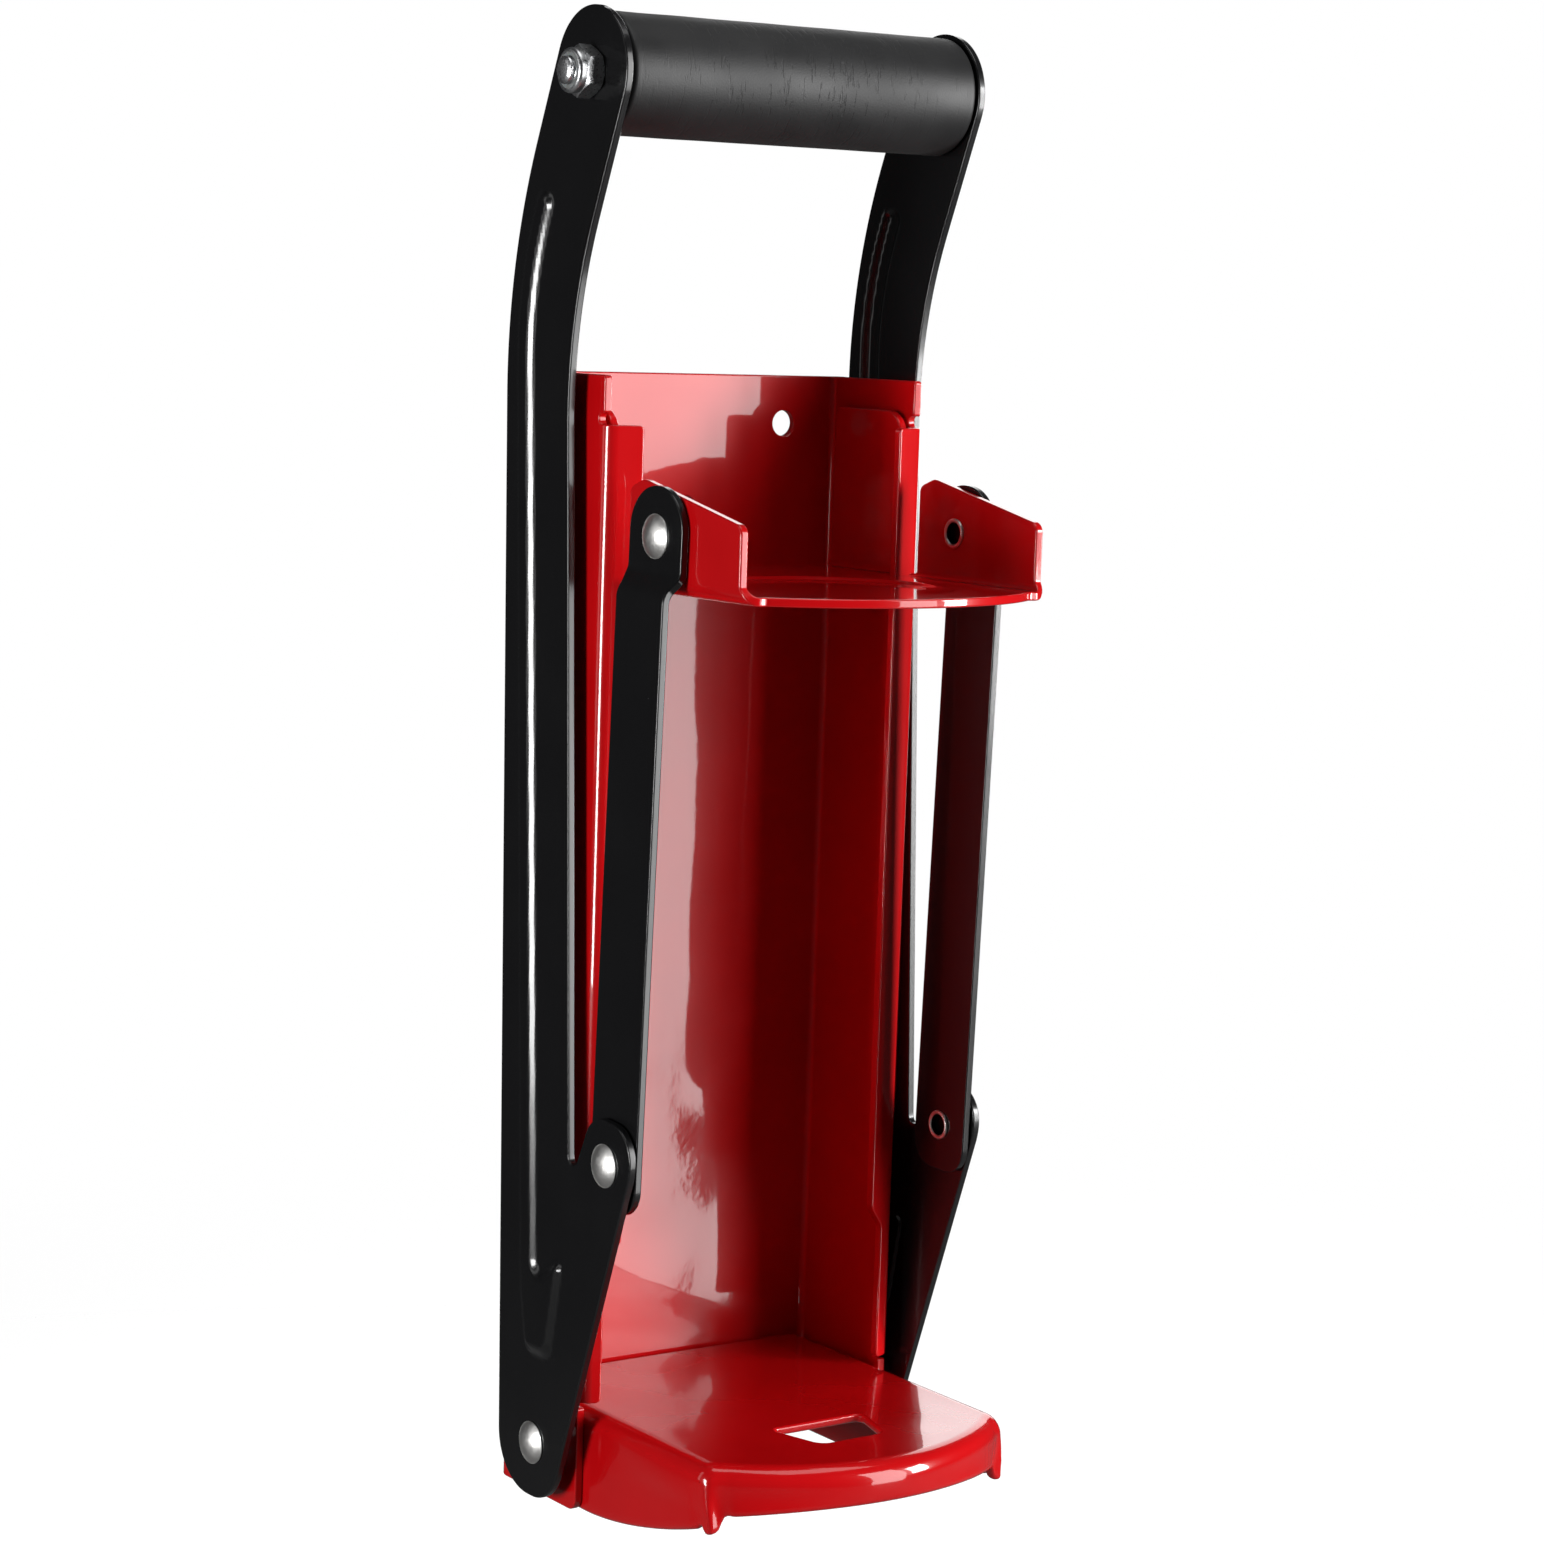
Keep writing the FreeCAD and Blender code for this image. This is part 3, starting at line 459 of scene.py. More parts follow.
def inside(points, loops):
    """Which points lie in the metal: a ray from each crosses the loops oddly often."""
    a = np.vstack(loops)
    b = np.vstack([np.roll(loop, -1, 0) for loop in loops])
    found = np.zeros(len(points), bool)
    for s in range(0, len(points), 2000):
        p = points[s:s + 2000]
        spans = (a[:, 1] > p[:, 1:2]) != (b[:, 1] > p[:, 1:2])
        slope = (b[:, 0] - a[:, 0]) / np.where(b[:, 1] == a[:, 1], 1, b[:, 1] - a[:, 1])
        hit = a[:, 0] + (p[:, 1:2] - a[:, 1]) * slope
        found[s:s + 2000] = (spans & (p[:, :1] < hit)).sum(1) % 2 == 1
    return found


def nearest(points, loops):
    """Distance from each point to the closest side of the loops."""
    a = np.vstack(loops)
    d = np.vstack([np.roll(loop, -1, 0) for loop in loops]) - a
    size = np.maximum((d * d).sum(1), 1e-12)
    best = np.empty(len(points))
    for s in range(0, len(points), 1500):
        p = points[s:s + 1500, None]
        t = np.clip(((p - a) * d).sum(2) / size, 0, 1)[..., None]
        best[s:s + 1500] = np.sqrt((((p - a) - t * d) ** 2).sum(2).min(1))
    return best


print("a 10 x 5 blank has", len(rounded([(0, 0, 1), (10, 0, 1), (10, 5, 1), (0, 5, 1)])), "points")

# %% Fill a face
def filled(loops, grid):
    """Triangles of the face between loops, with grid's points inside it.  Returns the
    grid points used and the triangles, numbered loops first and then the grid."""
    grid = grid[inside(grid, loops)]
    grid = grid[nearest(grid, loops) > 0.25]
    rim = np.vstack(loops)
    starts = np.cumsum([0] + [len(loop) for loop in loops])
    sides = [np.stack([np.arange(a, b), np.roll(np.arange(a, b), -1)], 1)
             for a, b in zip(starts, starts[1:])]
    every = np.vstack([rim, grid])
    _, _, faces, origin, _, _ = delaunay_2d_cdt(
        [Vector(p) for p in every.tolist()], np.vstack(sides).tolist(), [], 0, 1e-7)
    number = np.array([o[0] if o else -1 for o in origin])
    faces = np.array(faces)
    faces = number[faces[(number[faces] >= 0).all(1)]]
    middle = every[faces].mean(1)
    faces = faces[inside(middle, loops)]
    p = every[faces]
    u, v = p[:, 1] - p[:, 0], p[:, 2] - p[:, 0]
    turn = u[:, 0] * v[:, 1] - u[:, 1] * v[:, 0]
    faces = faces[np.abs(turn) > 1e-9]
    turn = turn[np.abs(turn) > 1e-9]
    faces[turn < 0] = faces[turn < 0][:, ::-1]
    return grid, faces


def mesh_from(name, points, faces, normals, material):
    """A mesh object at the origin from points in millimetres, with one smooth normal
    for each point, or one for each face corner."""
    mesh = bpy.data.meshes.new(name)
    mesh.from_pydata((points * MM).tolist(), [], [list(f) for f in faces])
    mesh.shade_smooth()
    if normals is not None and len(normals) == len(points):
        mesh.normals_split_custom_set_from_vertices(normals.tolist())
    elif normals is not None:
        mesh.normals_split_custom_set(normals.tolist())
    thing = bpy.data.objects.new(name, mesh)
    bpy.context.scene.collection.objects.link(thing)
    mesh.materials.append(material)
    return thing


def points_of(thing):
    """A mesh's points in millimetres."""
    at = np.empty(len(thing.data.vertices) * 3)
    thing.data.vertices.foreach_get("co", at)
    return at.reshape(-1, 3) / MM


def face_outwards(mesh):
    """Turn the faces of a closed mesh so that they all point outwards."""
    solid = bmesh.new()
    solid.from_mesh(mesh)
    bmesh.ops.recalc_face_normals(solid, faces=solid.faces)
    solid.to_mesh(mesh)
    solid.free()
    mesh.shade_smooth()


# %% [markdown]
# ## Folding
# A fold keeps the middle of the sheet at its own length.  So a point of the blank
# moves to the same distance along a bent line, and then out from that line by its
# place in the sheet's thickness.  The same two steps serve the channel, the ram and
# the links; only the bent line changes.

# %% Fold
def bent_line(start, heading, runs):
    """A line of straight runs and arcs: runs are (length, turn in degrees).  Returns a
    function from distance to place, direction and the normal on its right."""
    lengths = np.array([length for length, turn in runs], float)
    turns = np.radians([turn for length, turn in runs])
    ends = np.cumsum(np.r_[0, lengths])
    headings = math.radians(heading) + np.cumsum(np.r_[0, turns])
    bend = turns / lengths

    def move(k, distance):
        a, b = headings[k], bend[k]
        straight = np.abs(b) < 1e-9
        safe = np.where(straight, 1, b)
        du = np.where(straight, distance * np.cos(a), (np.sin(a + b * distance) - np.sin(a)) / safe)
        dv = np.where(straight, distance * np.sin(a), (np.cos(a) - np.cos(a + b * distance)) / safe)
        return np.stack([du, dv], -1)

    corners = [np.array(start, float)]
    for k in range(len(runs)):
        corners.append(corners[-1] + move(np.array(k), lengths[k]))
    corners = np.array(corners)

    def line(s):
        k = np.clip(np.searchsorted(ends, s, "right") - 1, 0, len(runs) - 1)
        distance = s - ends[k]
        place = corners[k] + move(k, distance)
        a = headings[k] + bend[k] * distance
        way = np.stack([np.cos(a), np.sin(a)], -1)
        return place, way, np.stack([way[:, 1], -way[:, 0]], -1)

    return line


def mirrored_line(line):
    """The same line for negative distances too: its first coordinate changes sign."""
    def both(s):
        place, way, normal = line(np.abs(s))
        flip = np.where(s < 0, -1.0, 1.0)[:, None]
        same = np.ones_like(flip)
        mirror = np.hstack([flip, same])
        return place * mirror, way * np.hstack([same, flip]), normal * mirror

    return both


def sheet_part(name, loops, grid, thickness, material, place, rim=0.35, relief=None):
    """A blank with rounded rims, carried to its place.  Its faces lie at plus and minus
    half the thickness; each loop's rim is a half-round of radius rim at both faces:
    inset rim(1 - cos a), height thickness/2 - rim(1 - sin a).  relief(u, v) lifts both
    faces.  place(u, v, w, normals) returns points and normals in millimetres."""
    sides = [outward(loop) for loop in loops]
    side = np.vstack([normal for normal, _ in sides])
    miter = np.concatenate([share for _, share in sides])
    edge = np.vstack(loops)
    inner = [loop - normal * (rim * share)[:, None] for loop, (normal, share) in zip(loops, sides)]
    grid, faces = filled(inner, grid)
    total = len(edge)
    size = total + len(grid)
    face = np.vstack([*inner, grid])
    tilts = np.radians([60, 30, 0, 0, -30, -60])
    upper = np.array([1, 1, 1, -1, -1, -1])
    levels = upper * (thickness / 2 - rim * (1 - np.sin(np.abs(tilts))))
    rings = [edge - side * (rim * (1 - np.cos(a)) * miter)[:, None] for a in tilts]
    flat = np.vstack([face, *rings, face])
    w = np.concatenate([np.full(size, thickness / 2), np.repeat(levels, total),
                        np.full(size, -thickness / 2)])
    normals = np.zeros((len(flat), 3))
    normals[:size, 2], normals[-size:, 2] = 1, -1
    for k, a in enumerate(tilts):
        rows = slice(size + k * total, size + (k + 1) * total)
        normals[rows, :2], normals[rows, 2] = side * np.cos(a), np.sin(a)
    if relief is not None:
        eps = 0.05
        lift = relief(flat)
        du = (relief(flat + [eps, 0]) - lift) / eps
        dv = (relief(flat + [0, eps]) - lift) / eps
        w = w + lift
        normals[:, 0] -= du * normals[:, 2]
        normals[:, 1] -= dv * normals[:, 2]
        normals /= np.linalg.norm(normals, axis=1, keepdims=True)
    points, normals = place(flat[:, 0], flat[:, 1], w, normals)
    starts = [0, *(size + k * total for k in range(len(tilts))), len(flat) - size]
    counts = np.array([len(loop) for loop in loops])
    ring = np.arange(total)
    after = ring + 1
    after[counts.cumsum() - 1] -= counts
    bands = [np.stack([b + ring, b + after, a + after, a + ring], 1)
             for a, b in zip(starts, starts[1:])]
    whole = faces.tolist() + np.vstack(bands).tolist()
    whole += (faces[:, ::-1] + len(flat) - size).tolist()
    thing = mesh_from(name, points, whole, normals, material)
    print(name, len(points), "points,", len(whole), "faces")
    return thing


def folder(line, axes):
    """The place function of a folded blank: u runs along line, v along the third axis
    and w along the line's normal.  axes are the world axes of the line's plane."""
    first, second = np.array(axes[0], float), np.array(axes[1], float)
    third = np.cross(first, second)

    def place(u, v, w, normals):
        at, way, normal = line(u)
        at = at + normal * w[:, None]
        points = at[:, :1] * first + at[:, 1:] * second + v[:, None] * third
        t = way[:, :1] * first + way[:, 1:] * second
        n = normal[:, :1] * first + normal[:, 1:] * second
        return points, normals[:, :1] * t + normals[:, 1:2] * third + normals[:, 2:] * n

    return place


def lattice(us, vs):
    """Every pair of a u and a v."""
    u, v = np.meshgrid(us, vs, indexing="ij")
    return np.stack([u.ravel(), v.ravel()], 1)


def turned_over(thing, name):
    """The same piece on the other side of the press: X changes sign and every face is
    run the other way, so that it still points outwards."""
    mesh = thing.data
    points = points_of(thing) * [-1, 1, 1]
    faces = [list(p.vertices)[::-1] for p in mesh.polygons]
    corner = np.empty(len(mesh.loops) * 3)
    mesh.corner_normals.foreach_get("vector", corner)
    corner = corner.reshape(-1, 3) * [-1, 1, 1]
    order = np.concatenate([np.arange(p.loop_start, p.loop_start + p.loop_total)[::-1]
                            for p in mesh.polygons])
    return mesh_from(name, points, faces, corner[order], mesh.materials[0])


# %% [markdown]
# ## The channel
# One blank, 2 mm thick, folded four times: two square corners at the back, and two
# lips turned in at the front.  A short slit near the top frees each lip from the
# plain edge above it, so above the slit the side wall runs on flat.  The lips are
# narrower at the foot, where the base sits.

# %% Channel
top = 128.25
half_width, sheet, bend = 43.5, 2.0, 1.5
corner = bend + sheet
quarter = (bend + sheet / 2) * math.pi / 2
flat_back = half_width - corner
wall_start = flat_back + quarter
lip_depth, edge_depth, slit_depth = 32.306, 33.6, 31.4
lip_turn = 75.16
lip_arc = (bend + sheet / 2) * math.radians(lip_turn)
lip_start = wall_start + lip_depth - corner
plain_edge = wall_start + edge_depth - corner
lip_edge = lip_start + lip_arc + 5.893
narrow_edge = lip_start + lip_arc + 2.065
slit_end = wall_start + slit_depth - corner
slit_low, slit_high = top - 10.8, top - 8.2
lip_foot = top - 231.0
pin_y, pin_z = -22.4, top - 242.4
screw_out, screw_radius, rivet_hole = 27.1, 3.0, 3.05

with_lip = mirrored_line(bent_line((0, -sheet / 2), 0, [
    (flat_back, 0), (quarter, -90), (lip_depth - corner, 0), (lip_arc, -lip_turn), (9, 0)]))
no_lip = mirrored_line(bent_line((0, -sheet / 2), 0, [(flat_back, 0), (quarter, -90), (60, 0)]))


def channel_place(u, v, w, normals):
    """Fold with the lip below the slit and above the foot, and without it elsewhere."""
    a, na = folder(with_lip, ((1, 0, 0), (0, 1, 0)))(u, v, w, normals)
    b, nb = folder(no_lip, ((1, 0, 0), (0, 1, 0)))(u, v, w, normals)
    lipped = ((v < (slit_low + slit_high) / 2) & (v > lip_foot - 0.5))[:, None]
    return np.where(lipped, a, b), np.where(lipped, na, nb)


right_side = [
    (plain_edge, -top, 3.0), (plain_edge, lip_foot - 1.4, 0.5), (slit_end, lip_foot - 1.4, 0.6),
    (slit_end, lip_foot, 0.6), (narrow_edge, lip_foot, 1.2), (narrow_edge, top - 198.7, 2.5),
    (lip_edge, top - 194.0, 2.5), (lip_edge, slit_low, 1.0), (slit_end, slit_low, 1.25),
    (slit_end, slit_high, 1.25), (plain_edge, slit_high, 0.6), (plain_edge, top, 0.9)]
outline = right_side + [(-u, v, r) for u, v, r in right_side[::-1]]
loops = [rounded(outline, 0.5), round_hole(screw_out, top - 11.2, screw_radius),
         round_hole(-screw_out, top - 11.2, screw_radius), round_hole(0, top - 31.3, screw_radius)]
pin_u = wall_start - pin_y - corner
loops += [round_hole(s * pin_u, pin_z, rivet_hole) for s in (-1, 1)]
bend_us = np.r_[np.linspace(flat_back, wall_start, 13),
                np.linspace(lip_start, lip_start + lip_arc, 11)]
heights = np.arange(-top + 1, top, 2.5)
grid = np.vstack([lattice(np.r_[-bend_us[::-1], bend_us], heights),
                  lattice(np.arange(-36, 37, 6.0), np.arange(-120, 125, 8.0)),
                  lattice([-66, -60, -54, -48, 48, 54, 60, 66], np.arange(-120, 125, 8.0))])
channel = sheet_part("channel_shell", loops, grid, sheet, red, channel_place, rim=0.4)
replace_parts(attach(channel, "root"), "back_channel")

# %% [markdown]
# ## The ram
# The pressing plate is one blank too, with an ear folded up at each side.  The ears
# stand in front of the channel's lips and the guides behind them, and the slot
# between lets the lips through.  A shallow round dish stiffens the plate: it is a
# smooth step in the blank's relief, so both faces carry it.

# %% Ram
ram_low, ear_out = top - 46.5, 40.7
ram_flat = ear_out - corner
ear_start = ram_flat + quarter
ram_reach, nose_half, nose_bow = 97.5, 38.7, 14.3
dish_y, dish_radius, dish_step, dish_depth = 60.0, 27.5, 3.0, 0.8


def ear(z):
    """Distance along the blank of a height z on the ear."""
    return ear_start + z - (ram_low + corner)


ram_line = mirrored_line(bent_line((0, ram_low + sheet / 2), 0, [
    (ram_flat, 0), (quarter, 90), (60, 0)]))
nose_radius = (nose_half ** 2 + nose_bow ** 2) / (2 * nose_bow)
nose_u = np.linspace(35.5, -35.5, 72)
nose = [(u, ram_reach - nose_radius + math.sqrt(nose_radius ** 2 - u * u), 0.0) for u in nose_u]
ram_side = [
    (ear(98.45), 83.2, 2.5), (ear(106.35), 45.5, 4.0), (ear(104.35), 40.3, 2.0), (39.6, 40.3, 0.6),
    (39.6, 38.5, 0.6), (34.5, 38.5, 1.2), (34.5, 32.5, 1.2), (ear(121.25), 32.5, 6.0),
    (ear(121.25), 6.8, 2.0)]
front_corner = [(ear(85.6), 83.2, 1.5), (37.6, 86.3, 2.6)]
blank = nose + [(-u, v, r) for u, v, r in front_corner[::-1]] + [(-u, v, r) for u, v, r in ram_side]
blank += [(u, v, r) for u, v, r in ram_side[::-1]] + front_corner
ear_pin = (54.0, 94.45)
loops = [rounded(blank, 0.5)]
loops += [round_hole(s * ear(ear_pin[1]), ear_pin[0], rivet_hole) for s in (-1, 1)]


def dish(at):
    """A step of dish_depth centred on the plate: t t (3 - 2 t), where t goes from 0 at
    dish_radius to 1 at dish_step further in."""
    far = np.hypot(at[:, 0], at[:, 1] - dish_y)
    t = np.clip((dish_radius - far) / dish_step, 0, 1)
    return dish_depth * t * t * (3 - 2 * t)


ram_bends = np.linspace(ram_flat, ear_start, 13)
rings = np.r_[0:24:4, 24:28.1:0.5]
around = np.radians(np.arange(0, 360, 4))
ring_points = np.stack([np.outer(rings, np.cos(around)).ravel(),
                        dish_y + np.outer(rings, np.sin(around)).ravel()], 1)
coarse = lattice(np.arange(-34, 35, 4.0), np.arange(8, 96, 4.0))
coarse = coarse[np.hypot(coarse[:, 0], coarse[:, 1] - dish_y) > 30]
grid = np.vstack([lattice(np.r_[-ram_bends[::-1], ram_bends], np.arange(7.5, 97, 1.5)),
                  ring_points, coarse, lattice([-70, -60, -50, 50, 60, 70], np.arange(8, 84, 5.0))])
ram = sheet_part("ram_shell", loops, grid, sheet, red, folder(ram_line, ((1, 0, 0), (0, 0, 1))),
                 rim=0.45, relief=dish)
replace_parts(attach(ram, "ram"), "ram_plate")

# %% [markdown]
# ## The lever's arms
# Each arm is a flat strap, widest at its foot where a lug carries the link.  A bead
# is pressed outwards along it and ends in a boot above the pivot.  The bead is a
# relief of the blank: how far a point is inside the bead's outline decides how high
# it stands, so the slope has the same width all the way round.

# %% Arm outline
def crossing(a, b, c, d):
    """Where the line a-b meets the line c-d."""
    a, b, c, d = (np.array(p, float) for p in (a, b, c, d))
    share, _ = np.linalg.solve(np.stack([b - a, c - d], 1), c - a)
    return tuple(a + share * (b - a))


handle = (-33.0, top + 64.7)
lug = (pin_y - 27.2, pin_z + 70.1)
arm_half, lean = 14.3, math.radians(22.5)


def lean_point(along, across):
    """A point of the arm's leaning end, along it from the handle and across it."""
    return (handle[0] + 0.8 - along * math.sin(lean) + across * math.cos(lean),
            handle[1] + along * math.cos(lean) + across * math.sin(lean))


foot, high = (-8.2, top - 255.0), (-1.0, top - 20.0)
notch, front = (-35.2, top - 180.5), (-27.2, top - 20.0)
rear_bend = crossing(foot, high, lean_point(0, arm_half), lean_point(-60, arm_half))
front_bend = crossing(notch, front, lean_point(0, -arm_half), lean_point(-60, -arm_half))
arm_corners = [
    (*foot, 13.0), (*rear_bend, 134.3), (*lean_point(arm_half, arm_half), 14.1),
    (*lean_point(arm_half, -arm_half), 14.1), (*front_bend, 105.7), (*notch, 1.8),
    (lug[0] + 5.8, lug[1] + 10.5, 7.4), (lug[0] - 10.8, lug[1] + 9.3, 8.0),
    (lug[0] - 9.9, lug[1] - 1.0, 16.0), (pin_y - 8.3, top - 255.0, 11.0)]

bead_high, bead_low = (-9.8, top - 20.0), (-19.6, top - 208.0)
across, tip, half = 5.1, -28.7, 4.0
bead_front = crossing((bead_high[0] - half, bead_high[1]), (bead_low[0] - half, bead_low[1]),
                      lean_point(0, across - half), lean_point(tip, across - half))
bead_rear = crossing((bead_high[0] + half, bead_high[1]), (bead_low[0] + half, bead_low[1]),
                     lean_point(0, across + half), lean_point(tip, across + half))
bead_corners = [
    (*lean_point(tip, across + half), 3.7), (*lean_point(tip, across - half), 3.7),
    (*bead_front, 76.0), (bead_low[0] - half, top - 203.0, 2.0),
    (bead_low[0] - 15.6, top - 194.5, 2.4), (bead_low[0] - 10.4, top - 222.0, 5.0),
    (bead_low[0] + 1.0, top - 222.0, 4.0), (bead_low[0] + half, top - 207.0, 4.0),
    (*bead_rear, 84.0)]
bead_loop = rounded([(-y, z, r) for y, z, r in bead_corners], 1.2)
bead_height, bead_flank = 1.2, 2.8
print("bead outline has", len(bead_loop), "points")


def bead(at):
    """Height of the bead: t t (3 - 2 t) of its full height, where t goes from 0 at its
    outline to 1 at bead_flank further in."""
    t = np.zeros(len(at))
    near = ((at > bead_loop.min(0)) & (at < bead_loop.max(0))).all(1)
    some = at[near]
    t[near] = np.where(inside(some, [bead_loop]), nearest(some, [bead_loop]), 0) / bead_flank
    t = np.clip(t, 0, 1)
    return bead_height * t * t * (3 - 2 * t)


def arm_place(u, v, w, normals):
    """Left arm: u is -Y and v is Z, and w points away from the press, to -X."""
    points = np.stack([arm_middle - w, -u, v], 1)
    return points, np.stack([-normals[:, 2], -normals[:, 0], normals[:, 1]], 1)


# %% Arms
strap, arm_middle = 1.8, -47.6
loops = [rounded([(-y, z, r) for y, z, r in arm_corners], 0.7)]
loops += [round_hole(-y, z, rivet_hole) for y, z in ((pin_y, pin_z), lug, handle)]
grid = lattice(np.arange(-2, 62, 0.8), np.arange(-128, 210, 0.8))
left_arm = sheet_part("left_arm_strap", loops, grid, strap, black, arm_place, relief=bead)
right_arm = turned_over(left_arm, "right_arm_strap")
for thing, node in ((left_arm, "left_arm"), (right_arm, "right_arm")):
    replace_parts(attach(thing, "lever"), node)

# %% [markdown]
# ## The links
# A link is a narrow strap that hangs from the lug outside the channel and steps in
# to lie against the ram's ear.  It is a blank folded twice, once each way, which is
# how a joggle is pressed.  The finished strap is then leaned onto its two pins.

# %% Links
pin_lean, pin_rise = 4.4, 138.5
pin_gap = math.hypot(pin_lean, pin_rise)
link_lean = math.atan2(pin_lean, pin_rise)
step_in, step_up, step_start = 3.5, 4.5, 8.0
link_end, link_middle, fold_radius = 10.7, -45.4, 4.0
joggle = math.atan2(step_in, step_up)
arc_length, tuck = fold_radius * joggle, fold_radius * math.tan(joggle / 2)
low_run = link_end + pin_gap - step_start - step_up - tuck
slope_run = math.hypot(step_in, step_up) - 2 * tuck
link_line = bent_line((-link_end, link_middle), 0, [
    (low_run, 0), (arc_length, math.degrees(joggle)), (slope_run, 0),
    (arc_length, -math.degrees(joggle)), (30, 0)])
upper_pin = low_run + 2 * arc_length + slope_run + step_start - tuck


def link_place(u, v, w, normals):
    """Fold in the plane of Z and X, then lean about X and move to the lug's pin."""
    points, n = folder(link_line, ((0, 0, 1), (1, 0, 0)))(u, v, w, normals)
    c, s = math.cos(link_lean), math.sin(link_lean)
    lean_it = np.array([[1, 0, 0], [0, c, -s], [0, s, c]])
    return points @ lean_it.T + [0, *lug], n @ lean_it.T


near_edge = [(0, -9.2, 6.5), (upper_pin - 12.0, -9.2, 4.0), (upper_pin - 9.0, -10.3, 4.0),
             (upper_pin + 10.9, -10.3, 10.0)]
ends = near_edge + [(u, -v, r) for u, v, r in reversed(near_edge)]
loops = [rounded(ends, 0.6), round_hole(link_end, 0, rivet_hole), round_hole(upper_pin, 0, rivet_hole)]
one_fold = np.linspace(0, arc_length, 8)
fold_us = low_run + np.r_[one_fold, arc_length + slope_run + one_fold]
grid = np.vstack([lattice(fold_us, np.arange(-9.0, 9.1, 1.2)),
                  lattice(np.arange(2, upper_pin + 9, 3.0), np.arange(-7.5, 8, 3.0))])
left_link = sheet_part("left_link_strap", loops, grid, strap, black, link_place)
right_link = turned_over(left_link, "right_link_strap")
for thing, side in ((left_link, "left"), (right_link, "right")):
    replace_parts(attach(thing, side + "_link"), side + "_link")

# %% [markdown]
# ## The base
# The base is drawn, not folded: the metal flows over a rounded edge on three sides
# and puckers a little at the two front corners, where it ends in a small tab.  So
# it is a profile carried along the planform: across the rounded top edge, down the
# skirt to a lower edge that rises and falls, round that edge and up inside.

# %% Base planform
base_half, base_side, base_nose, base_rear = 41.4, 80.0, 98.0, 3.6
deck = top - 233.0
edge_radius, corner_radius = 4.2, 5.5
bow = base_nose - base_side
bow_radius = (base_half ** 2 + bow ** 2) / (2 * bow)
bow_x = np.linspace(base_half - 4.5, -(base_half - 4.5), 60)
bow_points = [(x, base_nose - bow_radius + math.sqrt(bow_radius ** 2 - x * x), 0.0) for x in bow_x]
plan = rounded([(-base_half, base_rear, 0), (base_half, base_rear, 0),
                (base_half, base_side + 0.9, corner_radius), *bow_points,
                (-base_half, base_side + 0.9, corner_radius)], 0.5)
plan_normal, plan_miter = outward(plan)
start = int(np.argmin(np.hypot(plan[:, 0] - base_half, plan[:, 1] - base_rear)))
plan, plan_normal, plan_miter = (np.roll(a, -start, 0) for a in (plan, plan_normal, plan_miter))
last = int(np.argmin(np.hypot(plan[:, 0] + base_half, plan[:, 1] - base_rear)))
plan, plan_normal, plan_miter = (a[:last + 1] for a in (plan, plan_normal, plan_miter))
plan_normal[[0, -1]], plan_miter[[0, -1]] = [[1, 0], [-1, 0]], 1.0
along = np.cumsum(np.r_[0, np.linalg.norm(np.diff(plan, axis=0), axis=1)])
corner_at = along[[int(np.argmax(plan[:, 0] + plan[:, 1])), int(np.argmax(plan[:, 1] - plan[:, 0]))]]
off = along[:, None] - corner_at
off = np.where(np.abs(off[:, 0]) < np.abs(off[:, 1]), off[:, 0], -off[:, 1])
print("base outline", round(along[-1], 1), "mm long, corners at", corner_at.round(1))


# %% Skirt
def skirt_foot(reach):
    """Height of the skirt's lower edge: level at the rear, an upward curve along the
    side, a straight rise across the front, and a small tab at each corner, where off,
    the distance along the edge from the nearer corner, is small."""
    q = np.clip((reach - 34.0) / 46.0, 0, 1)
    side = -top + 9.3 * q ** 1.7
    ahead = top - 245.0 + 3.0 * np.clip((reach - base_side) / bow, 0, 1)
    front = np.clip((off + 1.0) / 3.5, 0, 1)
    foot = side * (1 - front) + ahead * front
    tab = 1.0 / (1.0 + np.exp((np.abs(off - 0.6) - 2.0) / 0.28))
    nick = np.exp(-((off + 2.3) / 0.7) ** 2) + 0.4 * np.exp(-((off - 4.0) / 0.9) ** 2)
    return foot * (1 - tab) + (top - 248.2 + 0.25 * off) * tab + 0.55 * nick


def skirt_rings(foot):
    """Inset and height of each ring of the skirt.  They round the edge at inset
    R(1 - cos a), height deck - R(1 - sin a), hang down by even shares, turn round the
    foot on a half-circle as thick as the sheet, and come back up one sheet in."""
    each = np.ones(len(foot))
    turn = np.radians(np.linspace(90, 0, 11))[:, None]
    shares = np.linspace(0, 1, 12)[1:, None]
    curl = np.radians([[30], [60], [90]])
    half = sheet / 2
    shoulder = deck - edge_radius
    inset = np.vstack([edge_radius * (1 - np.cos(turn)) * each, 0 * shares * each,
                       half * (1 - np.cos(curl)) * each])
    height = np.vstack([(deck - edge_radius * (1 - np.sin(turn))) * each,
                        shoulder + (foot + half - shoulder) * shares,
                        foot + half * (1 - np.sin(curl))])
    upwards = slice(-2, len(turn) - 1, -1)
    inner, turn = edge_radius - sheet, turn[::-1]
    inset = np.vstack([inset, sheet - inset[upwards], (sheet + inner * (1 - np.cos(turn))) * each])
    height = np.vstack([height, height[upwards],
                        (deck - sheet - inner * (1 - np.sin(turn))) * each])
    return inset, height


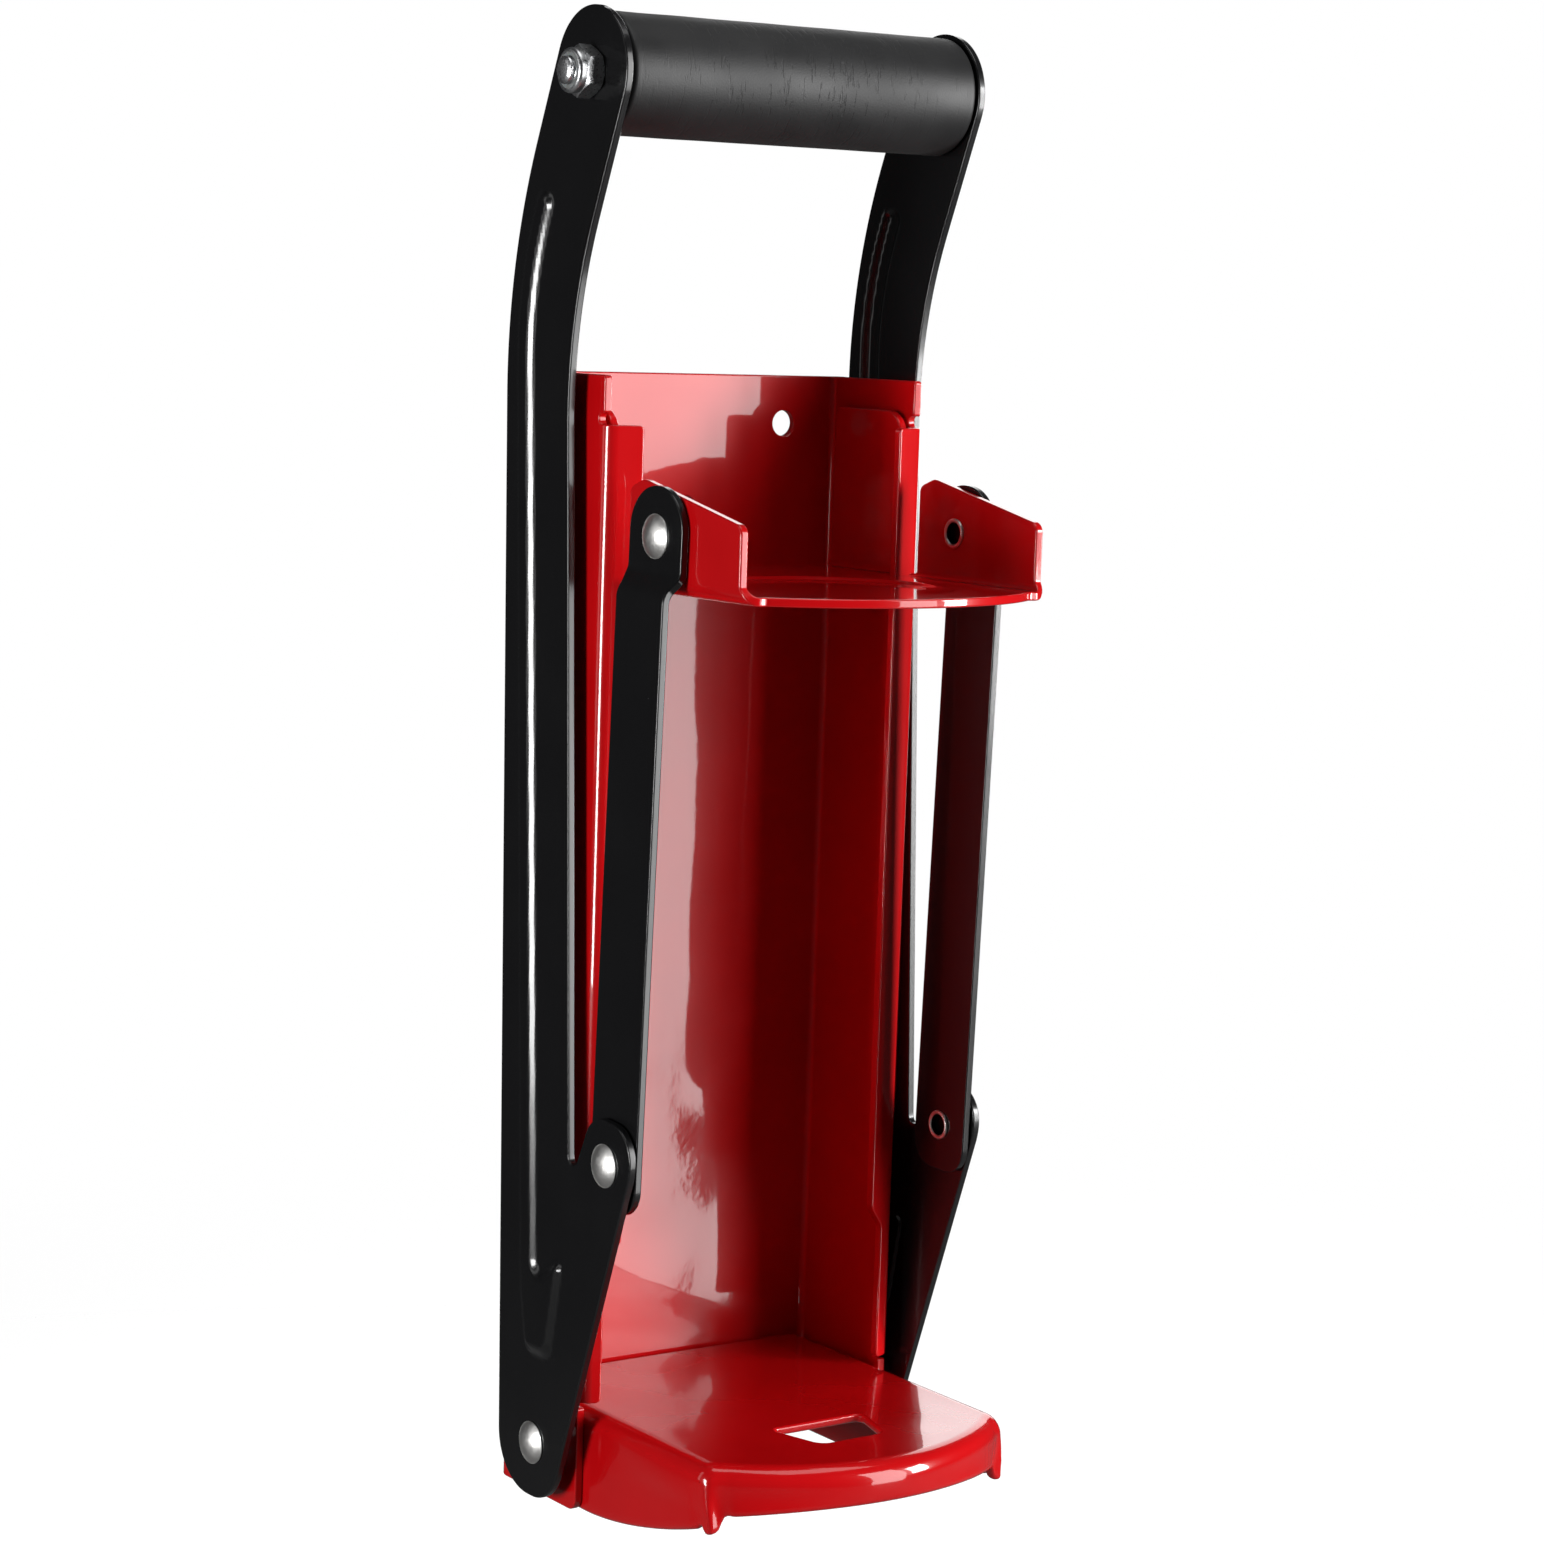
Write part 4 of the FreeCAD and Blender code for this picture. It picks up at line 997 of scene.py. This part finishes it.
def swell_out(height):
    """How far the skirt stands out: at each corner a ridge between two hollows, which
    sways as it falls, and a slow slack wave along the rest."""
    fall = np.clip((deck - 1.5 - height) / 9.0, 0, 1)
    sway = off - 0.55 * np.sin((height - deck) / 3.4)
    pucker = 0.85 * np.exp(-(sway / 1.15) ** 2) - 0.40 * np.exp(-((np.abs(sway) - 3.2) / 1.7) ** 2)
    slack = 0.25 * np.sin(along / 9.0) * np.sin(fall * np.pi)
    swell = fall ** 1.3 * pucker + slack * (plan[:, 1] > 40)
    swell[:, plan[:, 1] < 38] = 0
    return swell


# %% Base
def drawn_base(name, material):
    """The skirt's rings carried round the planform, closed at its two rear ends, with
    a deck above, another a sheet below it, and a window through both whose rim is
    rounded at inset r(1 - cos a), depth r(1 - sin a)."""
    inset, height = skirt_rings(skirt_foot(plan[:, 1]))
    at = plan + plan_normal * (swell_out(height) - inset * plan_miter)[..., None]
    grid = np.stack([at[..., 0], -at[..., 1], height], -1)
    normals = np.cross(np.gradient(grid, axis=0), np.gradient(grid, axis=1))
    normals /= np.linalg.norm(normals, axis=-1, keepdims=True)
    if (normals[5, :, :2] * plan_normal * [1, -1]).sum() < 0:
        normals = -normals
    normals[0], normals[-1] = [0, 0, 1], [0, 0, -1]

    rings, count = grid.shape[:2]
    size = rings * count
    number = np.arange(size).reshape(rings, count)
    skirt = np.stack([number[:-1, :-1], number[1:, :-1], number[1:, 1:], number[:-1, 1:]], -1)
    caps = []
    for column in (number[:, 0], number[:, -1]):
        for k in range(rings // 2):
            a, b, c, d = column[k], column[k + 1], column[rings - 2 - k], column[rings - 1 - k]
            caps.append([a, b, c, d] if b != c else [a, b, d])
    points, shade = [grid.reshape(-1, 3)], [normals.reshape(-1, 3)]

    def layer(flat, level, tilt, up):
        """Add flat's points at a level, with normals tilt in the plane and up in Z."""
        tall = np.ones(len(flat))
        points.append(np.column_stack([flat * [1, -1], level * tall]))
        shade.append(np.column_stack([tilt * [1, -1], up * tall]))

    rear_count = 28
    rear_x = np.linspace(at[0, -1, 0], at[0, 0, 0], rear_count + 2)[1:-1]
    rear = np.stack([rear_x, np.full(rear_count, base_rear)], 1)
    window = rounded([(-12.5, 65.5, 1.6), (12.5, 65.5, 1.6), (8.5, 79.5, 3.2), (-8.5, 79.5, 3.2)],
                     0.4)[::-1]
    side, miter = outward(window)
    lip = 0.7
    cut = window - side * (lip * miter)[:, None]
    inner_grid = lattice(np.arange(-37, 38, 3.0), np.arange(5, 96, 3.0))
    inner_grid, faces = filled([np.vstack([at[0], rear]), cut], inner_grid)
    flat = np.vstack([rear, cut, inner_grid])
    total = len(flat)
    layer(flat, deck, 0 * flat, 1.0)
    layer(flat, deck - sheet, 0 * flat, -1.0)
    over = np.r_[number[0], size + np.arange(total)]
    under = np.r_[number[-1], size + total + np.arange(total)]
    edge = count - 1 + np.arange(rear_count + 2)
    edge[-1] = 0
    back = np.stack([over[edge[:-1]], over[edge[1:]], under[edge[1:]], under[edge[:-1]]], 1)

    rim = [over[count + rear_count + np.arange(len(cut))]]
    start = size + 2 * total
    for k, a in enumerate(np.radians([60, 30, 0, 0, -30, -60])):
        depth = lip * (1 - np.sin(abs(a)))
        level = deck - depth if k < 3 else deck - sheet + depth
        layer(window - side * (lip * (1 - np.cos(a)) * miter)[:, None], level, side * np.cos(a), np.sin(a))
        rim.append(start + np.arange(len(cut)))
        start += len(cut)
    rim.append(under[count + rear_count + np.arange(len(cut))])
    hole = [np.stack([a, np.roll(a, -1), np.roll(b, -1), b], 1) for a, b in zip(rim, rim[1:])]

    whole = [*skirt.reshape(-1, 4).tolist(), *caps, *over[faces].tolist(), *under[faces].tolist(),
             *back.tolist(), *np.vstack(hole).tolist()]
    points, shade = np.vstack(points), np.vstack(shade)
    thing = mesh_from(name, points, whole, None, material)
    face_outwards(thing.data)
    thing.data.normals_split_custom_set_from_vertices(shade.tolist())
    print(name, len(points), "points,", len(whole), "faces")
    return thing


base = drawn_base("base_shell", drawn_red)
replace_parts(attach(base, "root"), "base_plate")

# %% [markdown]
# ## Turned pieces
# Rivets, nut, bolt and grip are all made round an axis across the press.  A profile
# of (distance along the axis, radius) is carried round it.  The hexagons are the
# same surface with a radius that also depends on the angle: the least of the
# hexagon's own radius and the cone that chamfers its corners.

# %% Turned surface
def turned(name, profile, centre, material, around=72, hexagon=None, closed=False, sharp=32):
    """Carry profile (x, radius) round the axis along X through centre (y, z).  hexagon
    is (flat, rows): in those rows radius becomes the smaller of itself and flat /
    cos(angle from the nearest flat).  Open profiles end in poles on the axis."""
    profile = np.array(profile, float)
    angle = np.linspace(0, 2 * np.pi, around, endpoint=False)
    radius = np.repeat(profile[:, 1:2], around, 1)
    if hexagon is not None:
        flat, rows = hexagon
        near = (angle + np.pi / 6) % (np.pi / 3) - np.pi / 6
        radius[rows] = np.minimum(radius[rows], flat / np.cos(near))
    x = np.repeat(profile[:, :1], around, 1)
    grid = np.stack([x, centre[0] + radius * np.cos(angle), centre[1] + radius * np.sin(angle)], -1)
    number = np.arange(len(profile) * around).reshape(-1, around)
    after = np.roll(number, -1, 1)
    below = np.roll(number, -1, 0) if closed else number[1:]
    below_after = np.roll(after, -1, 0) if closed else after[1:]
    first, first_after = (number, after) if closed else (number[:-1], after[:-1])
    quads = np.stack([first, below, below_after, first_after], -1).reshape(-1, 4)
    points, faces = grid.reshape(-1, 3), quads.tolist()
    if not closed:
        ends = [[profile[0, 0], *centre], [profile[-1, 0], *centre]]
        points = np.vstack([points, ends])
        low, high = len(points) - 2, len(points) - 1
        faces += np.stack([np.full(around, low), number[0], after[0]], 1).tolist()
        faces += np.stack([np.full(around, high), after[-1], number[-1]], 1).tolist()
    thing = mesh_from(name, points, faces, None, material)
    face_outwards(thing.data)
    thing.data.set_sharp_from_angle(angle=math.radians(sharp))
    return thing


def arc(x, r, radius, from_deg, to_deg, count=6):
    """Profile points on a circle about (x, r)."""
    a = np.radians(np.linspace(from_deg, to_deg, count))
    return list(zip(x + radius * np.cos(a), r + radius * np.sin(a)))


# %% [markdown]
# ## Rivets
# Each rivet has a low dome outside and a rolled, hollow tail inside.  Both ends and
# the shank are one turned profile.  The hollow is too small for light to find its
# way out of, so its points carry a bore value that the metal turns into dark.

# %% Rivets
def dome(face, height=1.9, radius=4.9):
    """A low dome standing out to -X from the plane x = face, with a soft rim."""
    ball = (radius ** 2 + height ** 2) / (2 * height)
    a = np.linspace(0.03, math.asin(radius / ball) * 0.965, 14)
    rows = [(face - height + ball * (1 - math.cos(t)), ball * math.sin(t)) for t in a]
    return rows + [(face - 0.22, radius - 0.05), (face - 0.10, radius), (face, radius - 0.06)]


def rolled(face):
    """A rim rolled over the plane x = face, round a bore that ends 1.2 mm below it."""
    return [(face, 3.38)] + arc(face + 0.15, 2.95, 0.45, 90, -60, 10) + [
        (face + 0.2, 2.45), (face - 0.9, 2.40), (face - 1.15, 2.2), (face - 1.2, 0.05)]


def darken_bore(thing, face, centre):
    """Mark where the metal paints shade: give each point a bore value, 1 inside the tail's hollow and 0
    elsewhere, told by its distance from the axis and its depth below the rolled rim."""
    at = points_of(thing)
    radius = np.hypot(at[:, 1] - centre[0], at[:, 2] - centre[1])
    depth = -np.abs(at[:, 0]) - face
    dark = (radius < 2.47) & (depth > -1.3) & (depth < 0.25)
    thing.data.attributes.new("bore", "FLOAT", "POINT").data.foreach_set("value", dark.astype(float))


def rivet(name, head, tail, centre, body, node):
    """A rivet on the left and its twin on the right, each riding on its body.  head
    and tail are the planes that its dome and its rolled rim stand on; where one is
    None the rivet is only the other half of one, and ends inside the ear."""
    shank = 3.0
    rows = dome(head) + [(head, shank)] if head else [(tail_half, 0.05), (tail_half, shank)]
    if tail:
        rows += [(tail, shank)] + rolled(tail)
    else:
        rows += [(head_half, shank), (head_half, 0.05)]
    left = turned("left_" + name, rows, centre, rivet_metal)
    right = turned("right_" + name, [(-x, r) for x, r in rows], centre, rivet_metal)
    for thing, side in ((left, "left"), (right, "right")):
        if tail:
            darken_bore(thing, tail, centre)
        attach(thing, body.format(side))
        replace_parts(thing, side + "_" + node)


arm_seat, link_seat = -48.6, -42.8
wall_tail, strap_tail, ear_tail = -39.35, -44.4, -38.65
head_half, tail_half = -41.0, -40.7
ear_axis = (-ear_pin[0], ear_pin[1])
rivet("pivot_rivet", arm_seat, wall_tail, (pin_y, pin_z), "root", "base_rivet")
rivet("lug_rivet", arm_seat, strap_tail, lug, "lever", "link_rivet")
rivet("ear_rivet_head", link_seat, None, ear_axis, "{}_link", "ram_rivet_head")
rivet("ear_rivet_tail", None, ear_tail, ear_axis, "ram", "ram_rivet_tail")
print("rivets done")

# %% [markdown]
# ## The nut and the bolt
# One bolt runs across the lever through the grip.  Its thread shows past the nut, so
# it is shallow grooves in the profile; a true helix would look the same at this
# size.  The nut is a hexagon with a plain round collar over its nylon ring.

# %% Lock nut
flat, cone_radius, cone_slope = 5.0, 4.85, 1.75
nut_end, nut_bore, collar_radius, collar_round = -52.8, 3.1, 4.9, 0.85
chamfer = np.linspace(0, 0.55, 6)
cone = [(arm_seat - c, cone_radius + cone_slope * c) for c in chamfer]
cone_far = [(nut_end + c, cone_radius + cone_slope * c) for c in chamfer[::-1]]
collar = [(nut_end - 0.02, collar_radius), (nut_end - 0.8, collar_radius)]
collar += arc(nut_end - 1.15, collar_radius - collar_round, collar_round, 90, 180, 9)
collar += [(nut_end - 1.95, 4.0), (nut_end - 0.1, 4.0), (nut_end, nut_bore), (arm_seat, nut_bore)]
hexed = slice(0, len(cone + cone_far))
nut = turned("lock_nut", cone + cone_far + collar, handle, zinc, around=144, hexagon=(flat, hexed),
             closed=True, sharp=24)
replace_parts(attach(nut, "lever"), "handle_nut")
print("nut", len(nut.data.polygons), "faces")

# %% Bolt
tip, crest, root_radius = -56.3, 2.98, 2.66
turns = np.arange(-55.6, -49.9, 1.0)
thread = [(x + step, r) for x in turns
          for step, r in ((0, crest), (0.35, crest), (0.55, root_radius), (0.80, root_radius))]
head_face, head_end = -arm_seat, 52.6
crown = np.linspace(0, 0.5, 6)[1:]
rows = [(tip, 0.05), (tip, 2.1), (tip + 0.06, 2.28), (tip + 0.5, 2.9)] + thread
rows += [(-49.5, 3.0), (head_face, 3.0)]
first_flat = len(rows)
rows += [(head_face + 0.01, 5.9), (head_end - 0.5, 5.9)]
rows += [(head_end - 0.5 + c, 5.75 - 1.75 * c) for c in crown]
hexed = slice(first_flat, len(rows))
rows += [(head_end - 0.02, 4.2), (head_end - 0.25, 3.9), (head_end - 0.25, 0.05)]
bolt = turned("cross_bolt", rows, handle, zinc, around=144, hexagon=(flat, hexed), sharp=24)
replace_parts(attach(bolt, "lever"), "handle_bolt")
print("bolt", len(bolt.data.polygons), "faces")

# %% [markdown]
# ## The grip
# A foam sleeve, cut square and squeezed between the arms.  It is a tube in section,
# with soft ends; slow ripples along and round it keep the long highlight alive.

# %% Grip
def foam_sleeve(name, material):
    """A closed tube profile carried round the handle: radius 13.3 mm less a slow
    ripple, the sum of a few seeded sine waves of length and angle."""
    end, outer, inner, soft = 46.3, 13.3, 6.8, 1.1
    xs = np.linspace(-end + soft, end - soft, 160)
    profile = arc(-end + soft, outer - soft, soft, 180, 90, 7)[:-1]
    profile += [(x, outer) for x in xs]
    profile += arc(end - soft, outer - soft, soft, 90, 0, 7)[1:]
    profile += [(end, inner + 0.4), (end - 0.4, inner), (-end + 0.4, inner), (-end, inner + 0.4)]
    thing = turned(name, profile, handle, material, around=192, closed=True, sharp=180)
    at = points_of(thing)
    across = at[:, 1:] - handle
    radius = np.linalg.norm(across, axis=1)
    angle = np.arctan2(across[:, 1], across[:, 0])
    rng = np.random.default_rng(7)
    ripple = np.zeros(len(at))
    for _ in range(14):
        k, m = rng.uniform(0.05, 0.5), rng.integers(0, 4)
        ripple += rng.uniform(0.2, 1.0) * np.sin(k * at[:, 0] + m * angle + rng.uniform(0, 6.3))
    ripple = 0.05 * (ripple / np.abs(ripple).max() - 1)
    body = np.clip((radius - 10.0) / 3.0, 0, 1)
    at[:, 1:] = handle + across * (1 + (ripple * body / radius))[:, None]
    thing.data.vertices.foreach_set("co", (at * MM).ravel())
    thing.data.update()
    return thing


grip = foam_sleeve("foam_grip", foam)
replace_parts(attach(grip, "lever"), "grip_sleeve")
print("grip", len(grip.data.polygons), "faces")

# %% [markdown]
# ## Pieces kept from the frame
# The spacer rings, the tube inside the grip and the nylon ring are plain turned
# shapes that hardly show.  They keep their own meshes and only take a finish.

# %% Kept pieces
for name, thing in nodes.items():
    if not thing.hide_render:
        thing.data.materials.clear()
        thing.data.materials.append(nylon if name == "nut_insert" else zinc)
        print("kept", name)

# %% [markdown]
# ## The size
# The box of the finished press is written down. The finished press has to stay
# in the imported frame's box.

# %% Write the sizes
low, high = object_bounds()
print("visual", [round(v * 1000, 2) for v in (*low, *high)])
